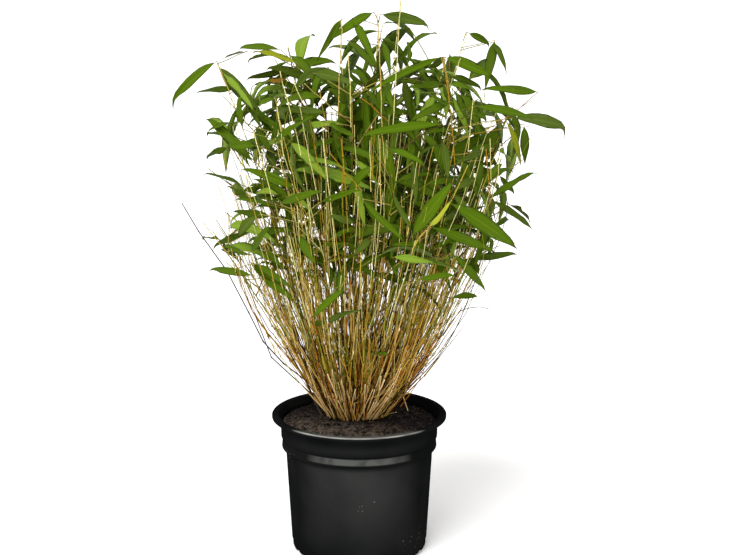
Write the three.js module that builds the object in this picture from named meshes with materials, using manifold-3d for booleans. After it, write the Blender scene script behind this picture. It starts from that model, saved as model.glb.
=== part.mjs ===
// A clumping bamboo in a black nursery pot: the moulded pot, its compost, slender culms that fan out
// from one crowded foot, and the leafy top of each culm as a mass of twigs and leaves.
// Millimetres, +Z up, origin at the middle of the pot's flat underside. The plant is seen from -Y.

import * as THREE from 'three';
import { mergeVertices } from 'three/addons/utils/BufferGeometryUtils.js';
import Module from 'manifold-3d';

const wasm = await Module();
wasm.setup();

// Driving sizes

const seatGap = 0.3; // clearance wherever one piece meets another
const goldenAngle = 137.5;

const pot = {
  sides: 40,
  height: 199.5,
  rimRadius: 125,
  lipDepth: 5.5,
  lipBand: 9.5,
  rimRound: 1.5,
  wall: 2.4,
  floor: 3,
  floorFillet: 7,
  collarDraft: 0.7, // how much wider the collar is at its top
  collarRadius: 112.6,
  collarFoot: 167,
  grooveRadius: 110,
  grooveHeight: 161,
  beadRadius: 110.8,
  beadHeight: 155,
  shoulderTop: 151,
  shoulderFoot: 141.5,
  bodyTopRadius: 105,
  bodyFootRadius: 97.5,
  bodyFoot: 15,
  footRadius: 96.2,
  cornerRadius: 10,
  drains: 8,
  drainWidth: 16,
  drainHeight: 9,
  drainDepth: 16,
};

const compost = {
  top: 194,
  wallLevel: 187,
  clumpRadius: 64,
  slopeRadius: 86,
  slopeLevel: 190.5,
};

const clump = {
  footRadius: 52, // how far from the middle the outermost culms stand
  fanRadius: 225, // how far out the tip of such a culm leans
  culmRadius: 2.1,
  stemRadius: 1.25,
  tipRadius: 0.8,
  culmSides: 4,
  stemPieces: 4,
  twigSides: 3,
  minFootSpacing: 8,
  footShift: -4, // the foot of the clump stands a little left of the pot's middle
  settlingPasses: 40,
  settlingStep: 0.5,
};

// Leafy culms that shape the front view. Tip is where the culm ends, bow is how far its middle is
// lifted so that it arches outward, leafFrom is the share of its length that is below the leaves.
const shapingCulms = {
  crest: { tip: [28, -10, 762], bow: 10, leafFrom: 0.62, sprays: 4 },
  leader: { tip: [58, 25, 792], bow: 10, leafFrom: 0.6, sprays: 4, bareTop: 0.25 },
  slim: { tip: [-26, 15, 762], bow: 10, leafFrom: 0.62, sprays: 4, bareTop: 0.2 },
  hook: { tip: [-192, -25, 700], bow: 30, leafFrom: 0.5, sprays: 5 },
  shelf: { tip: [-98, 20, 722], bow: 25, leafFrom: 0.55, sprays: 5 },
  leftFlank: { tip: [-172, 30, 575], bow: 30, leafFrom: 0.42, sprays: 6 },
  leftSkirt: { tip: [-192, -45, 478], bow: 18, leafFrom: 0.44, sprays: 5 },
  flag: { tip: [148, 30, 738], bow: 25, leafFrom: 0.58, sprays: 5 },
  pair: { tip: [118, -30, 706], bow: 25, leafFrom: 0.55, sprays: 5 },
  rightReach: { tip: [205, 10, 620], bow: 30, leafFrom: 0.5, sprays: 5 },
  rightFlank: { tip: [182, -45, 520], bow: 26, leafFrom: 0.4, sprays: 6 },
  rightSkirt: { tip: [184, 45, 446], bow: 16, leafFrom: 0.42, sprays: 5 },
};

// The rest of the clump is dealt out evenly round the middle.
const ringCulms = {
  count: 15,
  firstAngle: 74,
  innerReach: 45,
  outerReach: 215,
  topHeight: 705,
  edgeHeight: 590,
  skirtEvery: 3, // every third one leans further and ends lower
  skirtDrop: 105,
  skirtLean: 1.08,
  bow: 22,
  leafFrom: 0.43,
  sprays: 6,
  bareTop: 0.03,
};

const companions = {
  perCulm: 1,
  radius: 1.9,
  pieces: 2,
  lowTip: 0.5, // share of the leafy culm's height that a bare companion reaches
  highTip: 0.74,
  spread: [22, 62],
  bow: [-4, 14],
  sharedFoot: 80, // length over which it may still touch its own leafy culm
  tries: 16,
};

// Two dry leafless stems at the left edge of the clump.
const dryStems = {
  dry_stem_tall: {
    foot: [-47, 6],
    bends: [[-128, 4, 262], [-166, 2, 360], [-214, 0, 447], [-247, 0, 503]],
    radius: 1.5,
    pieces: 9,
  },
  dry_stem_low: {
    foot: [-52, -8],
    bends: [[-70, -12, 232], [-124, -16, 285], [-146, -16, 346]],
    radius: 1.4,
    pieces: 9,
  },
};

// How far a leaf may reach from the middle axis at each height.
const crownProfile = [
  [225, 70], [280, 122], [350, 168], [430, 205], [520, 226],
  [600, 236], [660, 228], [705, 196], [745, 118], [772, 20],
];
const crownMiddle = 6; // the crown's middle lies a little to the right of the pot's

const twig = {
  radius: 0.95,
  tipRadius: 0.6,
  longest: 112,
  shortest: 64,
  openAngle: [28, 52],
  veer: 0.4, // how much further each new try may turn
  leaves: 4,
  leafGap: [0.17, 0.24],
  leafSink: 4,
  ownReach: 20, // length over which it may touch its own mass
  tries: 6,
};

const leaf = {
  longest: 104,
  shortest: 74,
  widthShare: 0.195,
  widestAt: 0.4,
  thickness: 1.3,
  outwardFacing: 0.9, // how far a blade's upper side turns outward from straight up
  sideTurn: 0.95, // angle between a side leaf and its twig, as seen from above
  turnSpread: 0.5,
  rise: [-0.75, 0.45],
  arch: [5, 14],
  rollSpread: 0.6,
  ownReach: 16,
  tries: 8,
};

// Leaves that make the crown's outline turn their broad side to the front. Each is given by the culm
// it grows from, its root and its tip, and how far its blade arches up.
const outlineFacing = new THREE.Vector3(0, -0.85, 0.6);
const outlineTwig = { nearTip: 14, leastRise: 24, steepness: 0.7 };
const outlineLeaves = [
  { culm: 'crest', root: [30, -14, 764], tip: [96, -34, 746], arch: 15 },
  { culm: 'crest', root: [20, -8, 765], tip: [-47, -24, 722], arch: 15 },
  { culm: 'slim', root: [-27, 6, 757], tip: [-58, -22, 696], arch: 12 },
  { culm: 'crest', root: [0, -30, 752], tip: [38, -46, 680], arch: 10 },
  { culm: 'hook', root: [-194, -28, 704], tip: [-254, -40, 636], arch: 18 },
  { culm: 'hook', root: [-186, -30, 694], tip: [-130, -48, 622], arch: 14 },
  { culm: 'hook', root: [-176, -28, 668], tip: [-238, -6, 652], arch: 8 },
  { culm: 'shelf', root: [-106, 20, 728], tip: [-192, 8, 726], arch: 14 },
  { culm: 'shelf', root: [-86, 4, 704], tip: [-196, -14, 700], arch: 16 },
  { culm: 'shelf', root: [-52, 0, 680], tip: [-128, -20, 660], arch: 12 },
  { culm: 'leftFlank', root: [-150, 20, 600], tip: [-214, 4, 638], arch: 5 },
  { culm: 'leftFlank', root: [-150, 34, 580], tip: [-216, 36, 612], arch: 7 },
  { culm: 'leftFlank', root: [-140, 24, 586], tip: [-218, 20, 572], arch: 12 },
  { culm: 'leftFlank', root: [-150, 10, 548], tip: [-222, -4, 540], arch: 14 },
  { culm: 'leftSkirt', root: [-150, -66, 496], tip: [-196, -76, 522], arch: 5 },
  { culm: 'leftSkirt', root: [-140, -60, 470], tip: [-190, -74, 452], arch: 9 },
  { culm: 'leftSkirt', root: [-160, -72, 446], tip: [-216, -86, 432], arch: 10 },
  { culm: 'flag', root: [150, 28, 738], tip: [184, 16, 710], arch: 15 },
  { culm: 'flag', root: [186, 24, 730], tip: [206, 8, 664], arch: 10 },
  { culm: 'flag', root: [180, 14, 718], tip: [168, -6, 652], arch: 10 },
  { culm: 'pair', root: [126, -36, 710], tip: [190, -54, 674], arch: 14 },
  { culm: 'pair', root: [120, -34, 708], tip: [30, -60, 664], arch: 14 },
  { culm: 'rightReach', root: [172, -24, 660], tip: [250, -30, 648], arch: 16 },
  { culm: 'rightReach', root: [160, -14, 634], tip: [232, -30, 622], arch: 12 },
  { culm: 'rightReach', root: [214, 6, 618], tip: [286, -8, 586], arch: 20 },
  { culm: 'rightReach', root: [202, -4, 610], tip: [226, -28, 546], arch: 8 },
  { culm: 'rightFlank', root: [180, -52, 500], tip: [248, -66, 544], arch: 6 },
  { culm: 'rightFlank', root: [184, -44, 506], tip: [242, -50, 460], arch: 12 },
  { culm: 'rightFlank', root: [132, -88, 508], tip: [220, -118, 440], arch: 14 },
  { culm: 'rightSkirt', root: [160, 40, 424], tip: [222, 44, 428], arch: 9 },
  { culm: 'rightSkirt', root: [128, 12, 436], tip: [178, -10, 376], arch: 10 },
];

// Materials

const finish = (color, roughness) => new THREE.MeshStandardMaterial({ color, roughness, metalness: 0 });
const blackPlastic = finish('#1d1e1e', 0.45);
const peatCompost = finish('#2b211c', 0.95);
const strawCane = finish('#b58f48', 0.55);
const dryCane = finish('#77705f', 0.7);
const bambooLeaf = finish('#4b7a22', 0.5);

// Seeded draws: the same numbers on every run

function seededDraw(seed) {
  let state = seed >>> 0;
  return (low = 0, high = 1) => {
    state = (state + 0x6d2b79f5) >>> 0;
    let mixed = Math.imul(state ^ (state >>> 15), state | 1);
    mixed = (mixed + Math.imul(mixed ^ (mixed >>> 7), mixed | 61)) ^ mixed;
    return low + (high - low) * (((mixed ^ (mixed >>> 14)) >>> 0) / 4294967296);
  };
}

// Solids

function closedGeometry(vertices, faces) {
  const geometry = new THREE.BufferGeometry();
  const numbers = vertices.flatMap((vertex) => vertex.toArray());
  geometry.setAttribute('position', new THREE.Float32BufferAttribute(numbers, 3));
  geometry.setIndex(faces.flat());
  return geometry;
}

function toSolid(geometry) {
  const bare = geometry.clone();
  bare.deleteAttribute('normal');
  bare.deleteAttribute('uv');
  const merged = mergeVertices(bare, 1e-4);
  return new wasm.Manifold(new wasm.Mesh({
    numProp: 3,
    vertProperties: new Float32Array(merged.attributes.position.array),
    triVerts: new Uint32Array(merged.index.array),
  }));
}

function toGeometry(solid) {
  const mesh = solid.getMesh();
  const geometry = new THREE.BufferGeometry();
  geometry.setAttribute('position', new THREE.BufferAttribute(new Float32Array(mesh.vertProperties), 3));
  geometry.setIndex(new THREE.BufferAttribute(new Uint32Array(mesh.triVerts), 1));
  geometry.computeVertexNormals();
  return geometry;
}

// Short edges left by the joins are closed up, and a scrap that joined nothing is dropped.
function fuse(geometries) {
  const shortestEdge = 0.02;
  const joined = geometries.map(toSolid).reduce((whole, piece) => whole.add(piece));
  const bodies = joined.simplify(shortestEdge).decompose();
  return bodies.reduce((largest, body) => (body.volume() > largest.volume() ? body : largest));
}

function taperedRod(points, radii, sides, levelFoot = false) {
  const vertices = [];
  const faces = [];
  const across = new THREE.Vector3(0, 1, 0);
  points.forEach((point, ring) => {
    const ahead = points[Math.min(ring + 1, points.length - 1)];
    const behind = points[Math.max(ring - 1, 0)];
    const along = ahead.clone().sub(behind).normalize();
    if (levelFoot && ring === 0) along.set(0, 0, 1);
    across.addScaledVector(along, -across.dot(along)).normalize();
    const third = along.clone().cross(across);
    for (let side = 0; side < sides; side++) {
      const angle = (2 * Math.PI * side) / sides;
      vertices.push(point.clone()
        .addScaledVector(across, radii[ring] * Math.cos(angle))
        .addScaledVector(third, radii[ring] * Math.sin(angle)));
    }
    if (ring === 0) return;
    const low = (ring - 1) * sides;
    const high = ring * sides;
    for (let side = 0; side < sides; side++) {
      const next = (side + 1) % sides;
      faces.push([low + side, low + next, high + side], [low + next, high + next, high + side]);
    }
  });
  const last = (points.length - 1) * sides;
  for (let side = 1; side < sides - 1; side++) {
    faces.push([0, side + 1, side], [last, last + side, last + side + 1]);
  }
  return closedGeometry(vertices, faces);
}

// Pot and compost

function lathe(outline, sides) {
  const profile = outline.map(([radius, z]) => new THREE.Vector2(radius, z));
  return new THREE.LatheGeometry(profile, sides).rotateX(Math.PI / 2);
}

function innerWall() {
  const outerWall = [
    [pot.bodyFootRadius - pot.floorFillet, pot.floor],
    [pot.bodyFootRadius - pot.floorFillet * 0.4, pot.floor + pot.floorFillet * 0.5],
    [pot.bodyFootRadius, pot.bodyFoot],
    [pot.bodyTopRadius, pot.shoulderFoot],
    [pot.grooveRadius, pot.shoulderTop],
    [pot.grooveRadius, pot.grooveHeight],
    [pot.collarRadius - pot.collarDraft, pot.collarFoot],
    [pot.collarRadius, pot.height - pot.lipDepth - pot.wall],
  ];
  return outerWall.map(([radius, z]) => [radius - pot.wall, z]);
}

function makePot() {
  const lipInner = pot.rimRadius - pot.lipBand;
  const lipFoot = pot.height - pot.lipDepth;
  const cornerBulge = pot.cornerRadius * (1 - Math.SQRT1_2);
  const outline = [
    [0, 0],
    [pot.footRadius - pot.cornerRadius, 0],
    [pot.footRadius - cornerBulge, cornerBulge],
    [pot.footRadius, pot.cornerRadius],
    [pot.footRadius, pot.bodyFoot - 2],
    [pot.bodyFootRadius, pot.bodyFoot],
    [pot.bodyTopRadius, pot.shoulderFoot],
    [pot.beadRadius, pot.shoulderTop],
    [pot.beadRadius, pot.beadHeight],
    [pot.grooveRadius, (pot.beadHeight + pot.grooveHeight) / 2],
    [pot.grooveRadius, pot.grooveHeight],
    [pot.collarRadius - pot.collarDraft, pot.collarFoot],
    [pot.collarRadius, lipFoot],
    [pot.rimRadius - pot.rimRound / 5, lipFoot],
    [pot.rimRadius, pot.height - pot.rimRound],
    [pot.rimRadius - pot.rimRound, pot.height],
    [lipInner + pot.rimRound / 2, pot.height],
    [lipInner, pot.height - pot.rimRound],
    ...innerWall().reverse(),
    [0, pot.floor],
  ];
  let solid = toSolid(lathe(outline, pot.sides));
  for (let drain = 0; drain < pot.drains; drain++) {
    const slot = new THREE.BoxGeometry(pot.drainDepth, pot.drainWidth, pot.drainHeight * 2)
      .translate(pot.footRadius, 0, 0)
      .rotateZ((2 * Math.PI * (drain + 0.5)) / pot.drains);
    solid = solid.subtract(toSolid(slot));
  }
  return toGeometry(solid);
}

function makeCompost() {
  const floorLevel = pot.floor + seatGap;
  const wall = innerWall().slice(0, -1).map(([radius, z]) => [radius - seatGap, Math.max(z, floorLevel)]);
  const [collarRadius] = wall.at(-1);
  const outline = [
    [0, floorLevel],
    ...wall,
    [collarRadius, compost.wallLevel],
    [compost.slopeRadius, compost.slopeLevel],
    [compost.clumpRadius, compost.top],
    [0, compost.top],
  ];
  return toGeometry(toSolid(lathe(outline, pot.sides)));
}

// Keeping pieces apart: every culm, twig and leaf claims the points that it runs through

const spacing = { grid: 8, step: 4, slack: 1.6, sameMass: 3.2 };
const halfThickness = { culm: 2, twig: 1, leaf: 1.3 };
const thickest = Math.max(...Object.values(halfThickness));
const claimed = new Map();

function cellsNear(point, reach) {
  const cells = [];
  const from = point.clone().subScalar(reach).divideScalar(spacing.grid).floor();
  const to = point.clone().addScalar(reach).divideScalar(spacing.grid).floor();
  for (let x = from.x; x <= to.x; x++) {
    for (let y = from.y; y <= to.y; y++) {
      for (let z = from.z; z <= to.z; z++) cells.push(`${x},${y},${z}`);
    }
  }
  return cells;
}

function claim(points, owner, kind) {
  for (const point of points) {
    const [cell] = cellsNear(point, 0);
    if (!claimed.has(cell)) claimed.set(cell, []);
    claimed.get(cell).push({ point, owner, half: halfThickness[kind] });
  }
}

// Within freeRadius of its root a piece may touch the node that it is part of.
function isFree(points, owner, kind, freeRadius) {
  const root = points[0];
  const half = halfThickness[kind] + spacing.slack;
  return points.every((point) => {
    const nearRoot = point.distanceTo(root) < freeRadius;
    return cellsNear(point, half + thickest).every((cell) => (claimed.get(cell) ?? []).every((other) => {
      if (other.owner !== owner) return other.point.distanceTo(point) >= half + other.half;
      return nearRoot || other.point.distanceTo(point) >= spacing.sameMass;
    }));
  });
}

function stepsBetween(start, end) {
  const count = Math.ceil(start.distanceTo(end) / spacing.step);
  return Array.from({ length: count + 1 }, (_, index) => start.clone().lerp(end, index / count));
}

function stepsAlong(curve, from, to) {
  const count = Math.ceil((curve.getLength() * (to - from)) / spacing.step);
  const shares = Array.from({ length: count + 1 }, (_, index) => from + ((to - from) * index) / count);
  return shares.map((share) => curve.getPoint(share));
}

// Culms

const footLevel = compost.top + seatGap;
const firstSpray = 0.04; // share of the culm that stays bare where its leaves begin
const vector = ([x, y, z]) => new THREE.Vector3(x, y, z);

function directionOf(bearing, rise) {
  const level = Math.cos(rise);
  return new THREE.Vector3(Math.cos(bearing) * level, Math.sin(bearing) * level, Math.sin(rise));
}

function culmCurve(foot, tip, bow) {
  const middle = foot.clone().lerp(tip, 0.5);
  const outward = new THREE.Vector3(tip.x - foot.x, tip.y - foot.y, 0).normalize();
  middle.addScaledVector(outward, -bow / 2).add(new THREE.Vector3(0, 0, bow));
  return new THREE.QuadraticBezierCurve3(foot, middle, tip);
}

function footBelow(tip) {
  const share = clump.footRadius / clump.fanRadius;
  return new THREE.Vector3(tip.x * share + clump.footShift, tip.y * share, footLevel);
}

function culmRod(curve, from, to, radii, pieces, sides) {
  const shares = Array.from({ length: pieces + 1 }, (_, index) => from + ((to - from) * index) / pieces);
  const points = shares.map((share) => curve.getPoint(share));
  const taper = points.map((_, index) => THREE.MathUtils.lerp(...radii, index / pieces));
  return taperedRod(points, taper, sides, from === 0);
}

// A bare companion rises from the same foot and ends among the leaves.
function companionCurve(culm, draw) {
  for (let attempt = 0; attempt < companions.tries; attempt++) {
    const share = draw(companions.lowTip, companions.highTip);
    const tip = culm.curve.getPoint(share);
    tip.addScaledVector(directionOf(draw(0, 2 * Math.PI), 0), draw(...companions.spread));
    const curve = culmCurve(culm.foot.clone(), tip, draw(...companions.bow));
    const points = stepsAlong(curve, 0, 1);
    if (isFree(points, culm.name, 'culm', companions.sharedFoot)) return { curve, points };
  }
  return null;
}

// Twigs and leaves

function crownReach(z) {
  const above = crownProfile.findIndex(([height]) => height >= z);
  if (above <= 0) return 0;
  const [lowHeight, lowReach] = crownProfile[above - 1];
  const [highHeight, highReach] = crownProfile[above];
  return THREE.MathUtils.mapLinear(z, lowHeight, highHeight, lowReach, highReach);
}

function insideCrown(point) {
  return Math.hypot(point.x - crownMiddle, point.y) < crownReach(point.z);
}

function outwardFacing(root, tip) {
  const outward = new THREE.Vector3(root.x + tip.x - 2 * crownMiddle, root.y + tip.y, 0).normalize();
  return outward.multiplyScalar(leaf.outwardFacing).add(new THREE.Vector3(0, 0, 1));
}

function placeLeaf(root, tip, facing, arch, roll) {
  const forward = tip.clone().sub(root).normalize();
  const normal = facing.addScaledVector(forward, -facing.dot(forward)).normalize();
  const widest = root.clone().lerp(tip, leaf.widestAt).addScaledVector(normal, arch);
  normal.applyAxisAngle(forward, roll);
  const side = normal.clone().cross(forward);
  const width = root.distanceTo(tip) * leaf.widthShare;
  return { root, tip, widest, normal, side, width };
}

// A blade is flat below and ridged along its midrib above.
function leafGeometry({ root, tip, widest, normal, side, width }) {
  const half = width / 2;
  const vertices = [
    widest.clone().addScaledVector(side, half),
    widest.clone().addScaledVector(normal, leaf.thickness),
    widest.clone().addScaledVector(side, -half),
    tip,
    root,
  ];
  const faces = [0, 1, 2].flatMap((edge) => {
    const next = (edge + 1) % 3;
    return [[edge, next, 3], [next, edge, 4]];
  });
  return closedGeometry(vertices, faces);
}

function leafSteps({ root, tip, widest, side, width }) {
  const points = [];
  for (const [start, end, fromWidth, toWidth] of [[root, widest, 0, 1], [widest, tip, 1, 0]]) {
    const spine = stepsBetween(start, end);
    spine.forEach((point, index) => {
      const half = (width / 2) * THREE.MathUtils.lerp(fromWidth, toWidth, index / (spine.length - 1));
      const across = Math.ceil(half / spacing.step);
      for (let lane = -across; lane <= across; lane++) {
        points.push(point.clone().addScaledVector(side, across ? (half * lane) / across : 0));
      }
    });
  }
  return points;
}

function addTwig(mass, start, end, freeRadius) {
  const points = stepsBetween(start, end);
  if (!isFree(points, mass.name, 'twig', freeRadius)) return false;
  claim(points, mass.name, 'twig');
  mass.pieces.push(taperedRod([start, end], [twig.radius, twig.tipRadius], clump.twigSides));
  return true;
}

function addLeaf(mass, attach, along, tip, { arch, roll, freeRadius, facing }) {
  const root = attach.clone().addScaledVector(along, -twig.leafSink);
  const blade = placeLeaf(root, tip, facing ? facing.clone() : outwardFacing(root, tip), arch, roll);
  const points = leafSteps(blade);
  if (!isFree(points, mass.name, 'leaf', freeRadius)) return false;
  claim(points, mass.name, 'leaf');
  mass.pieces.push(leafGeometry(blade));
  return true;
}

// A leaf of the outline grows from the culm's own tip, or from the end of a twig of its own.
function growOutlineLeaf(mass, stem, { root, tip, arch }) {
  const end = vector(root);
  const plan = { arch, roll: 0, freeRadius: Infinity, facing: outlineFacing };
  if (end.distanceTo(stem.tip) < outlineTwig.nearTip) {
    addLeaf(mass, stem.tip, stem.curve.getTangent(1), vector(tip), plan);
    return;
  }
  const away = Math.hypot(end.x - stem.tip.x, end.y - stem.tip.y);
  const startHeight = end.z - Math.max(outlineTwig.leastRise, outlineTwig.steepness * away);
  let share = 1;
  while (share > stem.leafFrom + firstSpray && stem.curve.getPoint(share).z > startHeight) share -= 0.01;
  const start = stem.curve.getPoint(share);
  if (!addTwig(mass, start, end, Infinity)) return;
  addLeaf(mass, end, end.clone().sub(start).normalize(), vector(tip), plan);
}

function growSpray(mass, stem, share, azimuth, draw) {
  const start = stem.curve.getPoint(share);
  let end = null;
  for (let attempt = 0; attempt < twig.tries && !end; attempt++) {
    const open = THREE.MathUtils.degToRad(draw(...twig.openAngle));
    const outward = directionOf(azimuth + draw(-1, 1) * attempt * twig.veer, 0);
    const along = stem.curve.getTangent(share).multiplyScalar(Math.cos(open));
    along.addScaledVector(outward, Math.sin(open)).normalize();
    const tip = start.clone().addScaledVector(along, draw(twig.shortest, twig.longest));
    if (insideCrown(tip) && addTwig(mass, start, tip, twig.ownReach)) end = tip;
  }
  if (!end) return;
  const along = end.clone().sub(start).normalize();
  const bearing = Math.atan2(along.y, along.x);
  for (let index = 0; index < twig.leaves; index++) {
    const attach = start.clone().lerp(end, 1 - index * draw(...twig.leafGap));
    const side = index % 2 ? leaf.sideTurn : -leaf.sideTurn;
    const turn = index === 0 ? 0 : side;
    for (let attempt = 0; attempt < leaf.tries; attempt++) {
      const heading = directionOf(bearing + turn + draw(-1, 1) * leaf.turnSpread, draw(...leaf.rise));
      const tip = attach.clone().addScaledVector(heading, draw(leaf.shortest, leaf.longest));
      const roll = draw(-leaf.rollSpread, leaf.rollSpread);
      const plan = { arch: draw(...leaf.arch), roll, freeRadius: leaf.ownReach };
      if (insideCrown(tip) && addLeaf(mass, attach, along, tip, plan)) break;
    }
  }
}

// The clump

function ringTip(index) {
  const share = Math.sqrt((index + 0.5) / ringCulms.count);
  const angle = THREE.MathUtils.degToRad(ringCulms.firstAngle + index * goldenAngle);
  const reach = THREE.MathUtils.lerp(ringCulms.innerReach, ringCulms.outerReach, share);
  const fullHeight = THREE.MathUtils.lerp(ringCulms.topHeight, ringCulms.edgeHeight, share * share);
  const skirt = index % ringCulms.skirtEvery === ringCulms.skirtEvery - 1;
  const lean = skirt ? reach * ringCulms.skirtLean : reach;
  const height = skirt ? fullHeight - ringCulms.skirtDrop : fullHeight;
  return [crownMiddle + lean * Math.cos(angle), lean * Math.sin(angle), height];
}

function planCulms() {
  const plans = Object.entries(shapingCulms).map(([key, plan]) => ({ ...plan, key }));
  for (let index = 0; index < ringCulms.count; index++) {
    const { bow, leafFrom, sprays } = ringCulms;
    plans.push({ key: `ring${index}`, tip: ringTip(index), bow, leafFrom, sprays });
  }
  return plans.map((plan, index) => {
    const number = String(index + 1).padStart(2, '0');
    const tip = vector(plan.tip);
    const foot = footBelow(tip);
    const curve = culmCurve(foot, tip, plan.bow);
    return { ...plan, name: `culm_${number}`, massName: `foliage_${number}`, tip, foot, curve };
  });
}

function keepFeetApart(culms) {
  for (let pass = 0; pass < clump.settlingPasses; pass++) {
    for (const culm of culms) {
      for (const other of culms) {
        const apart = culm.foot.clone().sub(other.foot);
        if (other === culm || apart.length() >= clump.minFootSpacing) continue;
        culm.foot.addScaledVector(apart.normalize(), clump.settlingStep);
      }
    }
  }
  for (const culm of culms) culm.curve = culmCurve(culm.foot, culm.tip, culm.bow);
}

function makeCulm(culm, draw) {
  const meet = culm.leafFrom - (seatGap * 1.5) / culm.curve.getLength();
  const radii = [clump.culmRadius, clump.stemRadius];
  const rods = [culmRod(culm.curve, 0, meet, radii, clump.stemPieces, clump.culmSides)];
  for (let index = 0; index < companions.perCulm; index++) {
    const bare = companionCurve(culm, draw);
    if (!bare) continue;
    claim(bare.points, culm.name, 'culm');
    const bareRadii = [companions.radius, clump.tipRadius];
    rods.push(culmRod(bare.curve, 0, 1, bareRadii, companions.pieces, clump.twigSides));
  }
  return toGeometry(fuse(rods));
}

function startMass(culm) {
  const radii = [clump.stemRadius, clump.tipRadius];
  const stem = culmRod(culm.curve, culm.leafFrom, 1, radii, clump.stemPieces, clump.twigSides);
  const mass = { name: culm.massName, pieces: [stem] };
  const rows = outlineLeaves.filter((row) => row.culm === culm.key);
  for (const row of rows) growOutlineLeaf(mass, culm, row);
  return mass;
}

function growSprays(mass, culm, draw) {
  const lowest = culm.leafFrom + firstSpray;
  const highest = 1 - (culm.bareTop ?? ringCulms.bareTop);
  const turn = draw(0, 2 * Math.PI);
  for (let index = 0; index < culm.sprays; index++) {
    const share = THREE.MathUtils.lerp(lowest, highest, (index + draw(0, 0.6)) / culm.sprays);
    growSpray(mass, culm, share, turn + index * THREE.MathUtils.degToRad(goldenAngle), draw);
  }
  return toGeometry(fuse(mass.pieces));
}

function named(name, geometry, material) {
  const mesh = new THREE.Mesh(geometry, material);
  mesh.name = name;
  return mesh;
}

const group = new THREE.Group();
group.add(named('pot', makePot(), blackPlastic));
group.add(named('compost', makeCompost(), peatCompost));

const clumpSeed = 20261;
const leafSeed = 20761;
const culms = planCulms();
keepFeetApart(culms);
for (const culm of culms) {
  claim(stepsAlong(culm.curve, 0, culm.leafFrom), culm.name, 'culm');
  claim(stepsAlong(culm.curve, culm.leafFrom, 1), culm.massName, 'culm');
}
for (const [name, { foot, bends, radius, pieces }] of Object.entries(dryStems)) {
  const curve = new THREE.CatmullRomCurve3([[...foot, footLevel], ...bends].map(vector));
  claim(stepsAlong(curve, 0, 1), name, 'culm');
  const rod = culmRod(curve, 0, 1, [radius, clump.tipRadius], pieces, clump.twigSides);
  group.add(named(name, toGeometry(toSolid(rod)), dryCane));
}

const masses = culms.map(startMass);
culms.forEach((culm, index) => {
  group.add(named(culm.name, makeCulm(culm, seededDraw(clumpSeed + index)), strawCane));
});
culms.forEach((culm, index) => {
  const foliage = growSprays(masses[index], culm, seededDraw(leafSeed + index));
  group.add(named(culm.massName, foliage, bambooLeaf));
});

export default group;
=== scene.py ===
# Potted clumping bamboo, dressed for its render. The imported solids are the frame, and every piece made
# here stands where they stand: the moulded pot, the crumbly compost, the culms, the twigs and the leaves.
# The clump grows by the rule of the part's source, from the same sizes and the same seeded draws, and is
# then carried on to finer culms, twigs and leaves within the same reach.
# Sizes are in millimetres and turn to metres where a mesh is made. The plant is seen from -Y.

import itertools
import math
import bpy
import numpy as np
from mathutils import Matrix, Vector, noise


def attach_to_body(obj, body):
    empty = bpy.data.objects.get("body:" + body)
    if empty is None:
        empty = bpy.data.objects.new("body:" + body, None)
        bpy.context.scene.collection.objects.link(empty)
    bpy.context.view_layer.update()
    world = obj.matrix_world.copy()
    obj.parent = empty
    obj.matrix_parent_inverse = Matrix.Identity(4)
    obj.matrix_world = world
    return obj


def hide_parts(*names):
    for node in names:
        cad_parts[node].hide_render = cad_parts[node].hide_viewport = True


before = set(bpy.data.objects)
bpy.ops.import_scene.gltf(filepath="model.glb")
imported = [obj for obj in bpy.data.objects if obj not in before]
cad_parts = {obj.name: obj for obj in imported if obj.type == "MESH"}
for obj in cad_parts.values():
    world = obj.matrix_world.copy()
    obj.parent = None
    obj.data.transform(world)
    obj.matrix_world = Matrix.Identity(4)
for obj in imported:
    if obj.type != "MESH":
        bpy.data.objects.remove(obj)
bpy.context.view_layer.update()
print("frame loaded with", len(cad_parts), "nodes")

metre = 0.001  # metres in a millimetre
goldenAngle = 137.5


# Small tools for points

def vector(xyz):
    return np.array(xyz, float)


def unit(direction):
    return direction / np.linalg.norm(direction)


def lerp(low, high, share):
    return low + (high - low) * share


def directionOf(bearing, rise):
    level = math.cos(rise)
    return vector((math.cos(bearing) * level, math.sin(bearing) * level, math.sin(rise)))


def turnAbout(direction, axis, angle):
    across = np.cross(axis, direction)
    along = axis * (axis @ direction)
    return direction * math.cos(angle) + across * math.sin(angle) + along * (1 - math.cos(angle))


# The same seeded draws as the source: a 32-bit generator that gives the same numbers on every run
def seededDraw(seed):
    word = 0xFFFFFFFF
    state = seed & word

    def draw(low=0.0, high=1.0):
        nonlocal state
        state = (state + 0x6D2B79F5) & word
        mixed = ((state ^ (state >> 15)) * (state | 1)) & word
        mixed = ((mixed + (((mixed ^ (mixed >> 7)) * (mixed | 61)) & word)) & word) ^ mixed
        return low + (high - low) * ((mixed ^ (mixed >> 14)) / 4294967296)

    return draw


def dealFrom(shares, draw):
    mark = draw() * sum(shares.values())
    for name, share in shares.items():
        mark -= share
        if mark < 0:
            return name
    return name


# Meshes: rings of points are swept into closed skins, and many skins are joined into one piece

def newBatch():
    return {"points": [], "faces": [], "uvs": [], "count": 0}


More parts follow.
